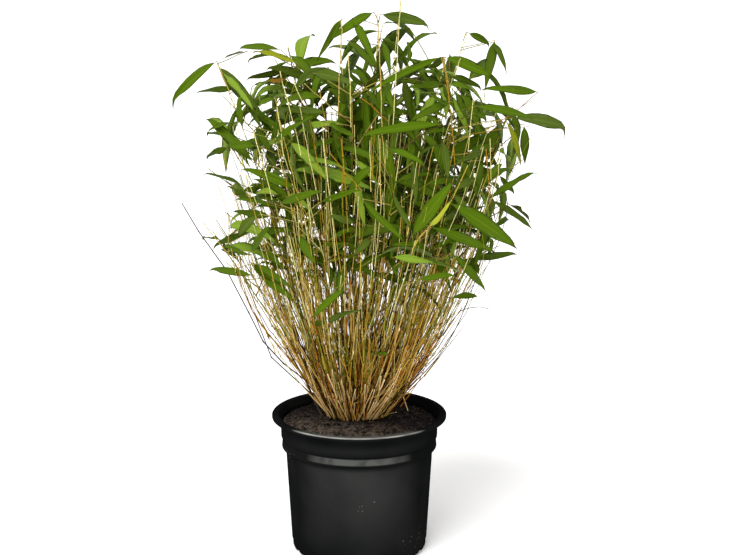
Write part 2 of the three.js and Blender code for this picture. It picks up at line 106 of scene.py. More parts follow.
# Each skin's map runs once round it in u and, for each stretch between two rings, from low to high in v
def addSkin(batch, rings, lows=None, highs=None):
    count, sides, _ = rings.shape
    base = batch["count"]
    batch["points"].append(rings.reshape(-1, 3))
    batch["count"] += count * sides
    lows = np.linspace(0, 1, count)[:-1] if lows is None else lows
    highs = np.linspace(0, 1, count)[1:] if highs is None else highs
    ring, side = [grid.ravel() for grid in np.meshgrid(np.arange(count - 1), np.arange(sides), indexing="ij")]
    here = base + ring * sides
    following = (side + 1) % sides
    quads = np.stack([here + side, here + following, here + sides + following, here + sides + side], axis=1)
    batch["faces"].extend(quads.tolist())
    start, end = side / sides, (side + 1) / sides
    low, high = np.asarray(lows)[ring], np.asarray(highs)[ring]
    batch["uvs"].append(np.stack([start, low, end, low, end, high, start, high], axis=1).reshape(-1, 2))
    around = np.arange(sides) / sides
    for first, v, order in ((base, lows[0], -1), (base + (count - 1) * sides, highs[-1], 1)):
        cap = (first + np.arange(sides))[::order]
        batch["faces"].append(cap.tolist())
        batch["uvs"].append(np.stack([around[::order], np.full(sides, v)], axis=1))


def makePiece(name, batch, material, nodes=(), smooth=True):
    mesh = bpy.data.meshes.new(name)
    mesh.from_pydata(np.concatenate(batch["points"]) * metre, [], batch["faces"])
    if batch["uvs"]:
        layer = mesh.uv_layers.new(name="OFBake")
        layer.data.foreach_set("uv", np.concatenate(batch["uvs"]).ravel().astype(np.float32))
    mesh.polygons.foreach_set("use_smooth", np.full(len(mesh.polygons), smooth))
    mesh.materials.append(material)
    mesh.update()
    piece = bpy.data.objects.new(name, mesh)
    bpy.context.scene.collection.objects.link(piece)
    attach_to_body(piece, "root")
    if nodes:
        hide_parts(*nodes)
    return piece


def ringAround(centre, across, third, radius, sides):
    angles = 2 * math.pi * np.arange(sides) / sides
    return centre + radius * (np.outer(np.cos(angles), across) + np.outer(np.sin(angles), third))


# Rings stand square to the line that they follow, and don't turn about it
def ringsAlong(points, radii, sides, levelFoot=False):
    across = vector((0, 1, 0))
    rings = []
    for index, point in enumerate(points):
        ahead = points[min(index + 1, len(points) - 1)]
        behind = points[max(index - 1, 0)]
        along = unit(ahead - behind)
        if levelFoot and index == 0:
            along = vector((0, 0, 1))
        across = unit(across - along * (across @ along))
        rings.append(ringAround(point, across, np.cross(along, across), radii[index], sides))
    return np.array(rings)


# Materials: hex colours are as the eye sees them, and patterns are sized from real millimetres

def toLinear(hexColour):
    channels = [int(hexColour[place:place + 2], 16) / 255 for place in (1, 3, 5)]
    return (*[c / 12.92 if c <= 0.04045 else ((c + 0.055) / 1.055) ** 2.4 for c in channels], 1.0)


def perMetre(millimetres):
    return 1000 / millimetres


def addNode(tree, kind, settings=None, links=None):
    node = tree.nodes.new(kind)
    for name, value in (settings or {}).items():
        if isinstance(name, str) and hasattr(node, name):
            setattr(node, name, value)
        else:
            node.inputs[name].default_value = value
    for name, source in (links or {}).items():
        tree.links.new(source, node.inputs[name])
    return node


def newMaterial(name, **values):
    material = bpy.data.materials.new(name)
    material.use_nodes = True
    shader = material.node_tree.nodes["Principled BSDF"]
    for socket, value in values.items():
        shader.inputs[socket.replace("_", " ")].default_value = value
    return material, material.node_tree, shader


# Lays a colour over another where every ramp lets it show. A ramp is a value, where it starts, where it is
# full and how much it then gives.
def layOver(tree, under, colour, *ramps):
    share = None
    for value, start, full, most in ramps:
        settings = {"From Min": start, "From Max": full, "To Max": most}
        shown = addNode(tree, "ShaderNodeMapRange", settings, {"Value": value}).outputs["Result"]
        if share is not None:
            both = addNode(tree, "ShaderNodeMath", {"operation": "MULTIPLY"}, {0: share, 1: shown})
            shown = both.outputs["Value"]
        share = shown
    settings, links = {"Color2": toLinear(colour)}, {"Fac": share}
    if isinstance(under, str):
        settings["Color1"] = toLinear(under)
    else:
        links["Color1"] = under
    return addNode(tree, "ShaderNodeMixRGB", settings, links).outputs["Color"]


# Gives a shader its finished colour and a fine relief, whose depth is in millimetres
def finish(tree, shader, colour, relief, strength, depth):
    settings = {"Strength": strength, "Distance": depth * metre}
    bump = addNode(tree, "ShaderNodeBump", settings, {"Height": relief})
    tree.links.new(colour, shader.inputs["Base Color"])
    tree.links.new(bump.outputs["Normal"], shader.inputs["Normal"])


# Camera, floor and light

studio = {
    "cameraPlace": (15.47, -2487.7, 951.8),
    "cameraDip": 12.574,  # degrees below level
    "lens": 88.036,
    "sensor": 36,
    "frame": (740, 555),  # the picture's size in pixels
    "floorSize": 160000,
    "farthest": 200000,  # how far the camera sees
    "floorColour": "#fbfaf8",
    "worldStrength": 0.88,
    # Soft boxes that shine at the target: where each stands, its strength and the degrees of sky it fills
    "boxes": {
        "key": ((-900, -1900, 3300), 2.66, 32),
        "front": ((200, -3000, 900), 0.9, 40),
    },
    "target": (0, 0, 450),
}
focalPixels = studio["lens"] / studio["sensor"] * studio["frame"][0]


def addSoftBox(name, place, strength, spread):
    light = bpy.data.lights.new(name, "SUN")
    light.energy = strength
    light.angle = math.radians(spread)
    lamp = bpy.data.objects.new(name, light)
    lamp.location = vector(place) * metre
    aim = Vector(vector(studio["target"]) * metre) - lamp.location
    lamp.rotation_euler = aim.to_track_quat("-Z", "Y").to_euler()
    bpy.context.scene.collection.objects.link(lamp)


# Matt paper sweep: a pale even ground with a trace of tooth
def paperSweep():
    material, tree, shader = newMaterial("pale_paper_sweep", Roughness=0.9)
    place = addNode(tree, "ShaderNodeTexCoord").outputs["Object"]
    tooth = addNode(tree, "ShaderNodeTexNoise", {"Scale": perMetre(400)}, {"Vector": place})
    colours = {"Color1": toLinear(studio["floorColour"]), "Color2": toLinear("#ffffff")}
    shade = addNode(tree, "ShaderNodeMixRGB", colours, {"Fac": tooth.outputs["Fac"]})
    tree.links.new(shade.outputs["Color"], shader.inputs["Base Color"])
    return material


def buildStudio():
    scene = bpy.context.scene
    camera = bpy.data.objects.new("camera", bpy.data.cameras.new("camera"))
    camera.location = vector(studio["cameraPlace"]) * metre
    camera.rotation_euler = (math.radians(90 - studio["cameraDip"]), 0, 0)
    camera.data.lens = studio["lens"]
    camera.data.sensor_width = studio["sensor"]
    camera.data.clip_end = studio["farthest"] * metre
    scene.collection.objects.link(camera)
    scene.camera = camera

    half = studio["floorSize"] / 2 * metre
    corners = [(-half, -half, 0), (half, -half, 0), (half, half, 0), (-half, half, 0)]
    mesh = bpy.data.meshes.new("floor")
    mesh.from_pydata(corners, [], [(0, 1, 2, 3)])
    mesh.materials.append(paperSweep())
    floor = bpy.data.objects.new("floor", mesh)
    scene.collection.objects.link(floor)

    world = bpy.data.worlds.new("studio")
    world.use_nodes = True
    background = world.node_tree.nodes["Background"]
    background.inputs["Color"].default_value = (1, 1, 1, 1)
    background.inputs["Strength"].default_value = studio["worldStrength"]
    scene.world = world
    scene.view_settings.view_transform = "Standard"

    for name, (place, strength, spread) in studio["boxes"].items():
        addSoftBox(f"{name}_soft_box", place, strength, spread)
    print("camera, floor and lights set")


buildStudio()


# Pot

pot = {
    "height": 199.5,
    "rimRadius": 125,
    "lipDepth": 5.5,
    "lipBand": 9.5,
    "rimRound": 1.5,
    "wall": 2.4,
    "floor": 3,
    "floorFillet": 7,
    "collarDraft": 0.7,
    "collarRadius": 112.6,
    "collarFoot": 167,
    "grooveRadius": 109.2,
    "grooveHeight": 165.4,
    "bandTopRadius": 109.9,
    "bandTop": 163.6,
    "bandFootRadius": 111,
    "bandFoot": 151.8,
    "bandReturn": 149.6,  # where the wall begins under the band's foot
    "bodyTopRadius": 105.2,
    "bodyFootRadius": 97.5,
    "bodyFoot": 15,
    "footRadius": 96.2,
    "cornerRadius": 10,
    "drains": 8,
    "drainWidth": 16,
    "drainHeight": 9,
    "drainDepth": 16,
    "segments": 160,
    "arcSteps": 5,
    "sharpAngle": 38,
}


# Corners are (radius, height, rounding): each rounded one becomes an arc of a few steps
def roundedOutline(corners, steps):
    outline = []
    for index, (radius, height, rounding) in enumerate(corners):
        here = vector((radius, height))
        if not rounding:
            outline.append(here)
            continue
        back = vector(corners[index - 1][:2]) - here
        ahead = vector(corners[(index + 1) % len(corners)][:2]) - here
        half = math.acos(np.clip(unit(back) @ unit(ahead), -1, 1)) / 2
        reach = min(rounding / math.tan(half), 0.48 * np.linalg.norm(back), 0.48 * np.linalg.norm(ahead))
        arcRadius = reach * math.tan(half)
        centre = here + unit(unit(back) + unit(ahead)) * arcRadius / math.sin(half)
        start, end = here + unit(back) * reach, here + unit(ahead) * reach
        for step in range(steps + 1):
            outline.append(centre + unit(lerp(start - centre, end - centre, step / steps)) * arcRadius)
    return np.array(outline)


def innerWall(offset):
    outside = [
        (pot["bodyFootRadius"] - pot["floorFillet"], pot["floor"]),
        (pot["bodyFootRadius"] - pot["floorFillet"] * 0.4, pot["floor"] + pot["floorFillet"] * 0.5),
        (pot["bodyFootRadius"], pot["bodyFoot"]),
        (pot["bodyTopRadius"], pot["bandReturn"]),
        (pot["grooveRadius"], pot["bandFoot"] + 3),
        (pot["grooveRadius"], pot["grooveHeight"]),
        (pot["collarRadius"] - pot["collarDraft"], pot["collarFoot"]),
        (pot["collarRadius"], pot["height"] - pot["lipDepth"] - pot["wall"]),
    ]
    return [(radius - pot["wall"] - offset, height) for radius, height in outside]


def potOutline():
    lipInner = pot["rimRadius"] - pot["lipBand"]
    lipFoot = pot["height"] - pot["lipDepth"]
    outer = [
        (0, 0, 0),
        (pot["footRadius"], 0, pot["cornerRadius"]),
        (pot["footRadius"], pot["bodyFoot"] - 2, 1.2),
        (pot["bodyFootRadius"], pot["bodyFoot"], 1.2),
        (pot["bodyTopRadius"], pot["bandReturn"] - 1.4, 0.8),
        (pot["bodyTopRadius"] + 0.4, pot["bandReturn"], 0.6),
        (pot["bandFootRadius"], pot["bandFoot"], 1.2),
        (pot["bandTopRadius"], pot["bandTop"], 0.8),
        (pot["grooveRadius"], pot["grooveHeight"], 0.7),
        (pot["collarRadius"] - pot["collarDraft"], pot["collarFoot"], 1.1),
        (pot["collarRadius"], lipFoot, 1.2),
        (pot["rimRadius"] - pot["rimRound"] / 5, lipFoot, 1.2),
        (pot["rimRadius"], pot["height"], 2.2),
        (lipInner, pot["height"], 2.2),
    ]
    inner = [(radius, height, 1.5) for radius, height in reversed(innerWall(0))]
    return roundedOutline([*outer, *inner, (0, pot["floor"], 0)], pot["arcSteps"])


# A closed skin of revolution, whose outline starts and ends on the axis. Where it has no height of its own,
# levelAt gives it.
def lathe(outline, segments, levelAt=None):
    rows = outline[1:-1]
    points = [(0, 0, levelAt(0, 0) if height is None else height) for _, height in (outline[0], outline[-1])]
    for segment in range(segments):
        angle = 2 * math.pi * segment / segments
        for radius, height in rows:
            x, y = radius * math.cos(angle), radius * math.sin(angle)
            points.append((x, y, levelAt(x, y) if height is None else height))
    faces = []
    size = len(rows)
    for segment in range(segments):
        here = 2 + segment * size
        there = 2 + (segment + 1) % segments * size
        faces.append((0, there, here))
        faces.append((1, here + size - 1, there + size - 1))
        faces.extend((here + k, there + k, there + k + 1, here + k + 1) for k in range(size - 1))
    return {"points": [np.array(points)], "faces": faces, "uvs": [], "count": len(points)}


# Each drain is an arched slot through the foot of the wall
def cutDrains(piece):
    arch = [(0.5, 0.62), (0.36, 0.9), (0.2, 1.0)]
    profile = [(-0.5, -1.0), (0.5, -1.0), *arch, *[(-x, z) for x, z in reversed(arch)]]
    batch = newBatch()
    for drain in range(pot["drains"]):
        bearing = 2 * math.pi * (drain + 0.5) / pot["drains"]
        outward, along = directionOf(bearing, 0), directionOf(bearing + math.pi / 2, 0)
        rings = []
        for reach in (-0.5, 0.5):
            centre = outward * (pot["footRadius"] + reach * pot["drainDepth"])
            rings.append([centre + along * x * pot["drainWidth"] + vector((0, 0, z * pot["drainHeight"]))
                          for x, z in profile])
        addSkin(batch, np.array(rings))
    mesh = bpy.data.meshes.new("drain_cutter")
    mesh.from_pydata(np.concatenate(batch["points"]) * metre, [], batch["faces"])
    cutter = bpy.data.objects.new("drain_cutter", mesh)
    bpy.context.scene.collection.objects.link(cutter)
    cut = piece.modifiers.new("drains", "BOOLEAN")
    cut.object = cutter
    cut.operation = "DIFFERENCE"
    cut.solver = "EXACT"
    whole = piece.evaluated_get(bpy.context.evaluated_depsgraph_get())
    mesh = bpy.data.meshes.new_from_object(whole)
    piece.modifiers.clear()
    piece.data = mesh
    bpy.data.objects.remove(cutter)
    mesh.polygons.foreach_set("use_smooth", np.full(len(mesh.polygons), True))
    mesh.set_sharp_from_angle(angle=math.radians(pot["sharpAngle"]))


# Injection-moulded polypropylene, charcoal black: satin, with faint flow clouds, dust and a few scuffs. Its
# wall and collar take a painted sheen at front and back, its band and rim painted highlights; elsewhere dull
# black.
def mouldedPolypropylene():
    looks = {
        "plastic": "#0e0f0f",
        "cloud": "#151615",
        # Painted sheen, then painted highlights for the band and rim top, and for the rim's edge
        "haze": "#2c2d2c",
        "rubbed": "#474845",
        "polished": "#8c8b85",
        "dust": "#33322f",
        "speck": "#b5b2aa",
        "speckSize": 5.5,
        "shine": (0.4, 0.56),
        # The size of each mark in millimetres, and how its noise is drawn
        "marks": {
            "flow": (60, {"Detail": 4.0}),
            "scuffs": (55, {"Detail": 8.0, "Roughness": 0.7, "Distortion": 0.8}),
            "paintedSheenPatches": (90, {"Detail": 5.0}),
            "bandHighlightPatches": (24, {"Detail": 3.0}),
            "topHighlightPatches": (30, {"Detail": 3.0}),
            "edgeHighlightPatches": (36, {"Detail": 2.0}),
            "grain": (1.6, {"Detail": 2.0}),  # the real grain is about 0.4 mm, drawn coarser so that it shows
        },
    }
    material, tree, shader = newMaterial("moulded_polypropylene", IOR=1.49, Specular_IOR_Level=0.0)
    place = addNode(tree, "ShaderNodeTexCoord").outputs["Object"]
    parts = addNode(tree, "ShaderNodeSeparateXYZ", links={"Vector": place})
    height = parts.outputs["Z"]
    forward = addNode(tree, "ShaderNodeMath", {"operation": "ABSOLUTE"}, {0: parts.outputs["Y"]})
    ahead = forward.outputs["Value"]
    level = addNode(tree, "ShaderNodeVectorMath", {"operation": "MULTIPLY", 1: (1, 1, 0)}, {0: place})
    length = addNode(tree, "ShaderNodeVectorMath", {"operation": "LENGTH"}, {0: level.outputs["Vector"]})
    radius = length.outputs["Value"]
    cells = addNode(tree, "ShaderNodeTexVoronoi", {"Scale": perMetre(looks["speckSize"])}, {"Vector": place})
    marks = {}
    for name, (size, settings) in looks["marks"].items():
        mark = addNode(tree, "ShaderNodeTexNoise", {"Scale": perMetre(size), **settings}, {"Vector": place})
        marks[name] = mark.outputs["Fac"]

    # A ramp between two sizes in millimetres
    def where(value, start, full, most=1):
        return value, start * metre, full * metre, most

    # The sheen and the highlights are painted on the front and back, where a frontal light lays them
    frontBackHighlight, frontBackSheen = where(ahead, 82, 101), where(ahead, 56, 113)
    rim, reach = pot["height"], pot["rimRadius"]
    bandFoot, bandTop = pot["bandFoot"], pot["bandTop"]
    layers = [
        ("cloud", (marks["flow"], 0.4, 0.7, 1)),
        # A painted sheen of the front light on the wall, fading towards the bottom and left out just under
        # the band, where the black is painted shade; a weaker one on the collar
        ("haze", where(height, 150, 143), where(height, 8, 104), frontBackSheen, (marks["paintedSheenPatches"], 0.1, 0.55, 1)),
        ("haze", where(height, 166, 174), where(height, 185, 177), where(ahead, 56, 113, 0.22)),
        ("dust", (marks["scuffs"], 0.66, 0.84, 0.5)),
        # Painted highlights on the band and the rim top, and a brighter one on the rim's edge
        ("rubbed", where(height, bandFoot + 2.4, bandFoot + 4), where(height, bandTop + 0.8, bandTop - 0.8),
         (marks["bandHighlightPatches"], 0.1, 0.5, 1), frontBackHighlight),
        ("rubbed", where(height, rim - 1.1, rim - 0.5), (marks["topHighlightPatches"], 0.2, 0.6, 1), frontBackHighlight),
        ("polished", where(height, rim - 2.1, rim - 1.1), where(radius, reach - 2.2, reach - 1.2),
         (marks["edgeHighlightPatches"], 0.2, 0.6, 1), frontBackHighlight),
        ("speck", (cells.outputs["Distance"], 0.1, 0.07, 0.6), (marks["flow"], 0.6, 0.66, 1)),
    ]
    skin = looks["plastic"]
    for colour, *ramps in layers:
        skin = layOver(tree, skin, looks[colour], *ramps)
    low, high = looks["shine"]
    shine = addNode(tree, "ShaderNodeMapRange", {"To Min": low, "To Max": high}, {"Value": marks["scuffs"]})
    tree.links.new(shine.outputs["Result"], shader.inputs["Roughness"])
    finish(tree, shader, skin, marks["grain"], 0.16, 0.4)
    return material


def buildPot():
    shell = lathe(potOutline(), pot["segments"])
    piece = makePiece("nursery_pot", shell, mouldedPolypropylene(), ["pot"])
    cutDrains(piece)
    print("pot turned, drains cut:", len(piece.data.polygons), "faces")


buildPot()


# Compost

compost = {
    "top": 194,
    "wallLevel": 187,
    "clumpRadius": 64,
    "clumpDrop": 0.6,
    "slopeRadius": 86,
    "slopeLevel": 190.5,
    "sunk": 1.2,  # the bed lies a little below the level of its crumbs
    "gap": 0.3,  # clearance to the pot's wall
    "rings": 70,
    "segments": 220,
    # How large its unevenness is and how high it stands
    "lumps": ((15, 2.6), (4.2, 1.5), (1.68, 0.7)),
    "lumpSeeds": (3.0, 9.0, 17.0),
    "crumbRadius": (0.5, 2.9),
    "fineRadius": (0.3, 0.8),
    "crumbs": 2300,
    "barkBits": 380,
    "paleBits": 340,
    "strands": 70,
    "seed": 5107,
}


# The bed's own level: heaped a little at the clump, falling to the wall
def bedLevel(radius):
    reach = innerWall(compost["gap"])[-1][0]
    places = [0, compost["clumpRadius"], compost["slopeRadius"], reach]
    top = compost["top"]
    levels = [top, top - compost["clumpDrop"], compost["slopeLevel"], compost["wallLevel"]]
    return float(np.interp(radius, places, levels))


def bedHeight(x, y):
    level = bedLevel(math.hypot(x, y)) - compost["sunk"]
    for (size, height), lumpSeed in zip(compost["lumps"], compost["lumpSeeds"]):
        level += noise.noise(Vector((x, y, lumpSeed)) / size) * height
    return level


def compostBed():
    wall = innerWall(compost["gap"])
    floorLevel = pot["floor"] + compost["gap"]
    outline = [(0, floorLevel)]
    outline += [(radius, max(height, floorLevel)) for radius, height in wall[:-1]]
    outline += [(wall[-1][0] * ring / compost["rings"], None) for ring in range(compost["rings"], -1, -1)]
    return lathe(outline, compost["segments"], bedHeight)


# Screened peat and fine bark: nearly black, reddish brown where it is drier, and no shine at all
def screenedPeat(name, dark, dry, fleck, fleckShare):
    looks = {"patchSize": 9, "crumbSize": 1.5, "grainSize": 1.2, "paintedFrontLightFrom": 5, "paintedFrontLightTo": 90}
    patches = {"Scale": perMetre(looks["patchSize"]), "Detail": 5.0, "Roughness": 0.7}
    grains = {"Scale": perMetre(looks["grainSize"]), "Detail": 6.0, "Roughness": 0.75}
    material, tree, shader = newMaterial(name, Roughness=0.95, Specular_IOR_Level=0.12)
    place = addNode(tree, "ShaderNodeTexCoord").outputs["Object"]
    patch = addNode(tree, "ShaderNodeTexNoise", patches, {"Vector": place})
    grain = addNode(tree, "ShaderNodeTexNoise", grains, {"Vector": place})
    cells = addNode(tree, "ShaderNodeTexVoronoi", {"Scale": perMetre(looks["crumbSize"])}, {"Vector": place})
    crumb = addNode(tree, "ShaderNodeSeparateColor", links={"Color": cells.outputs["Color"]})
    # The front and left are painted paler, a pool of the key light that comes from there
    frontward = {"operation": "DOT_PRODUCT", 1: (-0.45, -0.9, 0)}
    front = addNode(tree, "ShaderNodeVectorMath", frontward, {0: place})
    dryPatch = (patch.outputs["Fac"], 0.42, 0.68, 1)
    paintedFrontLight = (front.outputs["Value"], looks["paintedFrontLightFrom"] * metre, looks["paintedFrontLightTo"] * metre, 2.4)
    soil = layOver(tree, dark, dry, dryPatch)
    soil = layOver(tree, soil, fleck, paintedFrontLight, dryPatch)
    soil = layOver(tree, soil, fleck, (crumb.outputs["Red"], 1 - fleckShare, 1, 1))
    finish(tree, shader, soil, grain.outputs["Fac"], 0.9, 1.2)
    return material


# A crumb is a rough lump of twenty faces, made from a regular one whose corners are moved
def crumbShell():
    golden = (1 + math.sqrt(5)) / 2
    corners = [(0, a, b * golden) for a in (-1, 1) for b in (-1, 1)]
    corners += [(a, b * golden, 0) for a in (-1, 1) for b in (-1, 1)]
    corners += [(b * golden, 0, a) for a in (-1, 1) for b in (-1, 1)]
    shell = np.array(corners) / math.hypot(1, golden)
    faces = []
    for face in itertools.combinations(range(len(shell)), 3):
        a, b, c = shell[list(face)]
        if max(np.linalg.norm(a - b), np.linalg.norm(b - c), np.linalg.norm(c - a)) < 1.1:
            faces.append(face if np.cross(b - a, c - a) @ a > 0 else face[::-1])
    return shell, faces


def scatterCrumbs(count, sizes, seed):
    draw = seededDraw(seed)
    shell, faces = crumbShell()
    reach = innerWall(compost["gap"])[-1][0] - 3
    batch = newBatch()
    for _ in range(count):
        radius = reach * math.sqrt(draw())
        angle = draw(0, 2 * math.pi)
        size = lerp(sizes[0], sizes[1], draw() ** 2)
        x, y = radius * math.cos(angle), radius * math.sin(angle)
        centre = vector((x, y, bedHeight(x, y) + size * 0.25))
        stretch = vector((draw(0.7, 1.5), draw(0.7, 1.3), draw(0.5, 0.9))) * size
        turn = draw(0, 2 * math.pi)
        lump = np.array([corner * draw(0.75, 1.2) for corner in shell]) * stretch
        turned = np.stack([lump[:, 0] * math.cos(turn) - lump[:, 1] * math.sin(turn),
                           lump[:, 0] * math.sin(turn) + lump[:, 1] * math.cos(turn), lump[:, 2]], axis=1)
        batch["faces"].extend(tuple(batch["count"] + corner for corner in face) for face in faces)
        batch["points"].append(centre + turned)
        batch["count"] += len(shell)
    return batch


# Dried fibre and old root: thin straw-coloured strands lying on the bed
def scatterStrands(count, seed):
    draw = seededDraw(seed)
    batch = newBatch()
    for index in range(count):
        near = index % 2 == 0
        radius = draw(46, 72) if near else draw(20, 108)
        angle = draw(0, 2 * math.pi)
        x, y = radius * math.cos(angle) + clump["footShift"] * near, radius * math.sin(angle)
        way, bend = draw(0, 2 * math.pi), draw(-0.5, 0.5)
        length = draw(4, 15)
        points = []
        for step in range(5):
            lift = 0.5 + math.sin(math.pi * step / 4) * draw(0.2, 2.2)
            points.append(vector((x, y, bedHeight(x, y) + lift)))
            way += bend
            x += math.cos(way) * length / 4
            y += math.sin(way) * length / 4
        thick = draw(0.16, 0.34)
        addSkin(batch, ringsAlong(points, [thick, thick, thick, thick * 0.8, thick * 0.5], 4))
    return batch


def buildCompost():
    peat = screenedPeat("screened_peat", "#0e0a09", "#1d1512", "#4e443b", 0.05)
    bark = screenedPeat("composted_bark", "#20150f", "#33241b", "#5a4c3f", 0.06)
    pale = screenedPeat("pale_fibre_crumbs", "#5d5245", "#76695a", "#958a79", 0.1)
    root = caneSkin("dry_root_fibre", ("#6a5943", "#443829", "#443829", "#6a5943"))
    makePiece("compost_bed", compostBed(), peat, ["compost"])
    scattered = (
        ("compost_crumbs", peat, compost["crumbs"], compost["crumbRadius"]),
        ("compost_bark", bark, compost["barkBits"], compost["crumbRadius"]),
        ("compost_pale_bits", pale, compost["paleBits"], compost["fineRadius"]),
    )
    for extra, (name, material, count, sizes) in enumerate(scattered):
        crumbs = scatterCrumbs(count, sizes, compost["seed"] + extra)
        makePiece(name, crumbs, material, smooth=False)
    strands = scatterStrands(compost["strands"], compost["seed"] + len(scattered))
    makePiece("compost_strands", strands, root)
    print("compost laid")


# Culms: where they stand and how they lean, as in the source

clump = {
    "footRadius": 52,  # how far from the middle the outermost culms stand
    "fanRadius": 225,  # how far out the tip of such a culm leans
    "culmRadius": 2.1,
    "tipRadius": 0.8,
    "minFootSpacing": 8,
    "footShift": -4,
    "footDepth": 0.76,  # the clump's foot is not as deep as it is wide
    "footBack": 7,
    "settlingPasses": 40,
    "settlingStep": 0.5,
    "seatGap": 0.3,
    "clumpSeed": 20261,
    "leafSeed": 20761,
}
footLevel = compost["top"] + clump["seatGap"]

# Tip is where the culm ends, bow is how far its middle is lifted, leafFrom is the bare share of it
shapingCulms = {
    "crest": {"tip": (28, -10, 762), "bow": 10, "leafFrom": 0.62, "sprays": 4},
    "leader": {"tip": (58, 25, 792), "bow": 10, "leafFrom": 0.6, "sprays": 4, "bareTop": 0.25},
    "slim": {"tip": (-26, 15, 762), "bow": 10, "leafFrom": 0.62, "sprays": 4, "bareTop": 0.2},
    "hook": {"tip": (-192, -25, 700), "bow": 30, "leafFrom": 0.5, "sprays": 5},
    "shelf": {"tip": (-98, 20, 722), "bow": 25, "leafFrom": 0.55, "sprays": 5},
    "leftFlank": {"tip": (-172, 30, 575), "bow": 30, "leafFrom": 0.42, "sprays": 6},
    "leftSkirt": {"tip": (-192, -45, 478), "bow": 18, "leafFrom": 0.44, "sprays": 5},
    "flag": {"tip": (148, 30, 738), "bow": 25, "leafFrom": 0.58, "sprays": 5},
    "pair": {"tip": (118, -30, 706), "bow": 25, "leafFrom": 0.55, "sprays": 5},
    "rightReach": {"tip": (205, 10, 620), "bow": 30, "leafFrom": 0.5, "sprays": 5},
    "rightFlank": {"tip": (182, -45, 520), "bow": 26, "leafFrom": 0.4, "sprays": 6},
    "rightSkirt": {"tip": (184, 45, 446), "bow": 16, "leafFrom": 0.42, "sprays": 5},
}

ringCulms = {
    "count": 15,
    "firstAngle": 74,
    "innerReach": 45,
    "outerReach": 215,
    "topHeight": 705,
    "edgeHeight": 590,
    "skirtEvery": 3,
    "skirtDrop": 105,
    "skirtLean": 1.08,
    "bow": 22,
    "leafFrom": 0.43,
    "sprays": 6,
    "bareTop": 0.03,
}

companions = {
    "lowTip": 0.5,
    "highTip": 0.74,
    "spread": (22, 62),
    "bow": (-4, 14),
    "sharedFoot": 80,
    "tries": 16,
    "radius": 1.9,
}

dryStems = {
    "dry_stem_tall": {
        "foot": (-47, 6),
        "bends": [(-62, 5, 236), (-124, 4, 284), (-144, 3, 318), (-174, 2, 386), (-220, 0, 456),
                  (-247, 0, 503)],
        "radius": 1.5,
    },
    "dry_stem_low": {
        "foot": (-52, -8),
        "bends": [(-70, -12, 232), (-124, -16, 285), (-146, -16, 346)],
        "radius": 1.4,
    },
}

# How far a leaf may reach from the middle axis at each height
crownProfile = [
    (225, 70), (280, 122), (350, 168), (430, 205), (520, 226),
    (600, 236), (660, 228), (705, 196), (745, 118), (772, 20),
]
crownMiddle = 6

twig = {
    "radius": 0.95,
    "tipRadius": 0.6,
    "openAngle": (28, 52),
    "veer": 0.4,
    "leafGap": (0.17, 0.24),
    "leafSink": 4,
    "ownReach": 20,
}

leaf = {
    "longest": 110,
    "shortest": 80,
    "widthShare": 0.19,
    "widestAt": 0.4,
    "sideTurn": 0.95,
    "turnSpread": 0.5,
    "rise": (-1.1, 0.5),
    "arch": (5, 14),
    "rollSpread": 0.6,
    "facingShare": (0.2, 1.4),
    "ownReach": 16,
    "tries": 8,
}


def culmCurve(foot, tip, bow):
    outward = vector((tip[0] - foot[0], tip[1] - foot[1], 0))
    middle = lerp(foot, tip, 0.5) - unit(outward) * bow / 2 + vector((0, 0, bow))

    def place(share):
        rest = 1 - share
        return foot * rest * rest + middle * 2 * share * rest + tip * share * share

    return place


def heading(curve, share):
    step = 0.0001
    low, high = max(share - step, 0), min(share + step, 1)
    return unit(curve(high) - curve(low))


def lengthOf(curve):
    places = np.array([curve(index / 200) for index in range(201)])
    return np.linalg.norm(np.diff(places, axis=0), axis=1).sum()


# A centripetal curve through given points, as the source draws its dry stems
def throughPoints(points):
    count = len(points) - 1

    def place(share):
        index = min(int(share * count), count - 1)
        weight = share * count - index
        p1, p2 = points[index], points[index + 1]
        p0 = points[index - 1] if index > 0 else 2 * p1 - p2
        p3 = points[index + 2] if index + 2 <= count else 2 * p2 - p1
        dt0, dt1, dt2 = (max(np.linalg.norm(b - a) ** 0.5, 1e-4) for a, b in ((p0, p1), (p1, p2), (p2, p3)))
        t1 = ((p1 - p0) / dt0 - (p2 - p0) / (dt0 + dt1) + (p2 - p1) / dt1) * dt1
        t2 = ((p2 - p1) / dt1 - (p3 - p1) / (dt1 + dt2) + (p3 - p2) / dt2) * dt1
        square, cube = weight * weight, weight ** 3
        return (p1 + t1 * weight + (-3 * p1 + 3 * p2 - 2 * t1 - t2) * square
                + (2 * p1 - 2 * p2 + t1 + t2) * cube)

    return place


# Keeping pieces apart: every culm, twig and leaf claims the points that it runs through

spacing = {"step": 4, "slack": 1.6, "sameMass": 3.2, "most": 400000}
halfThickness = {"culm": 1.6, "cane": 0.5, "twig": 1, "leaf": 1.3}
thickest = max(halfThickness.values())
claimed = {
    "points": np.zeros((spacing["most"], 3)),
    "half": np.zeros(spacing["most"]),
    "owner": np.zeros(spacing["most"], int),
    "count": 0,
}
owners = {}


def claim(points, owner, kind):
    low = claimed["count"]
    high = low + len(points)
    claimed["points"][low:high] = points
    claimed["half"][low:high] = halfThickness[kind]
    claimed["owner"][low:high] = owners.setdefault(owner, len(owners))
    claimed["count"] = high


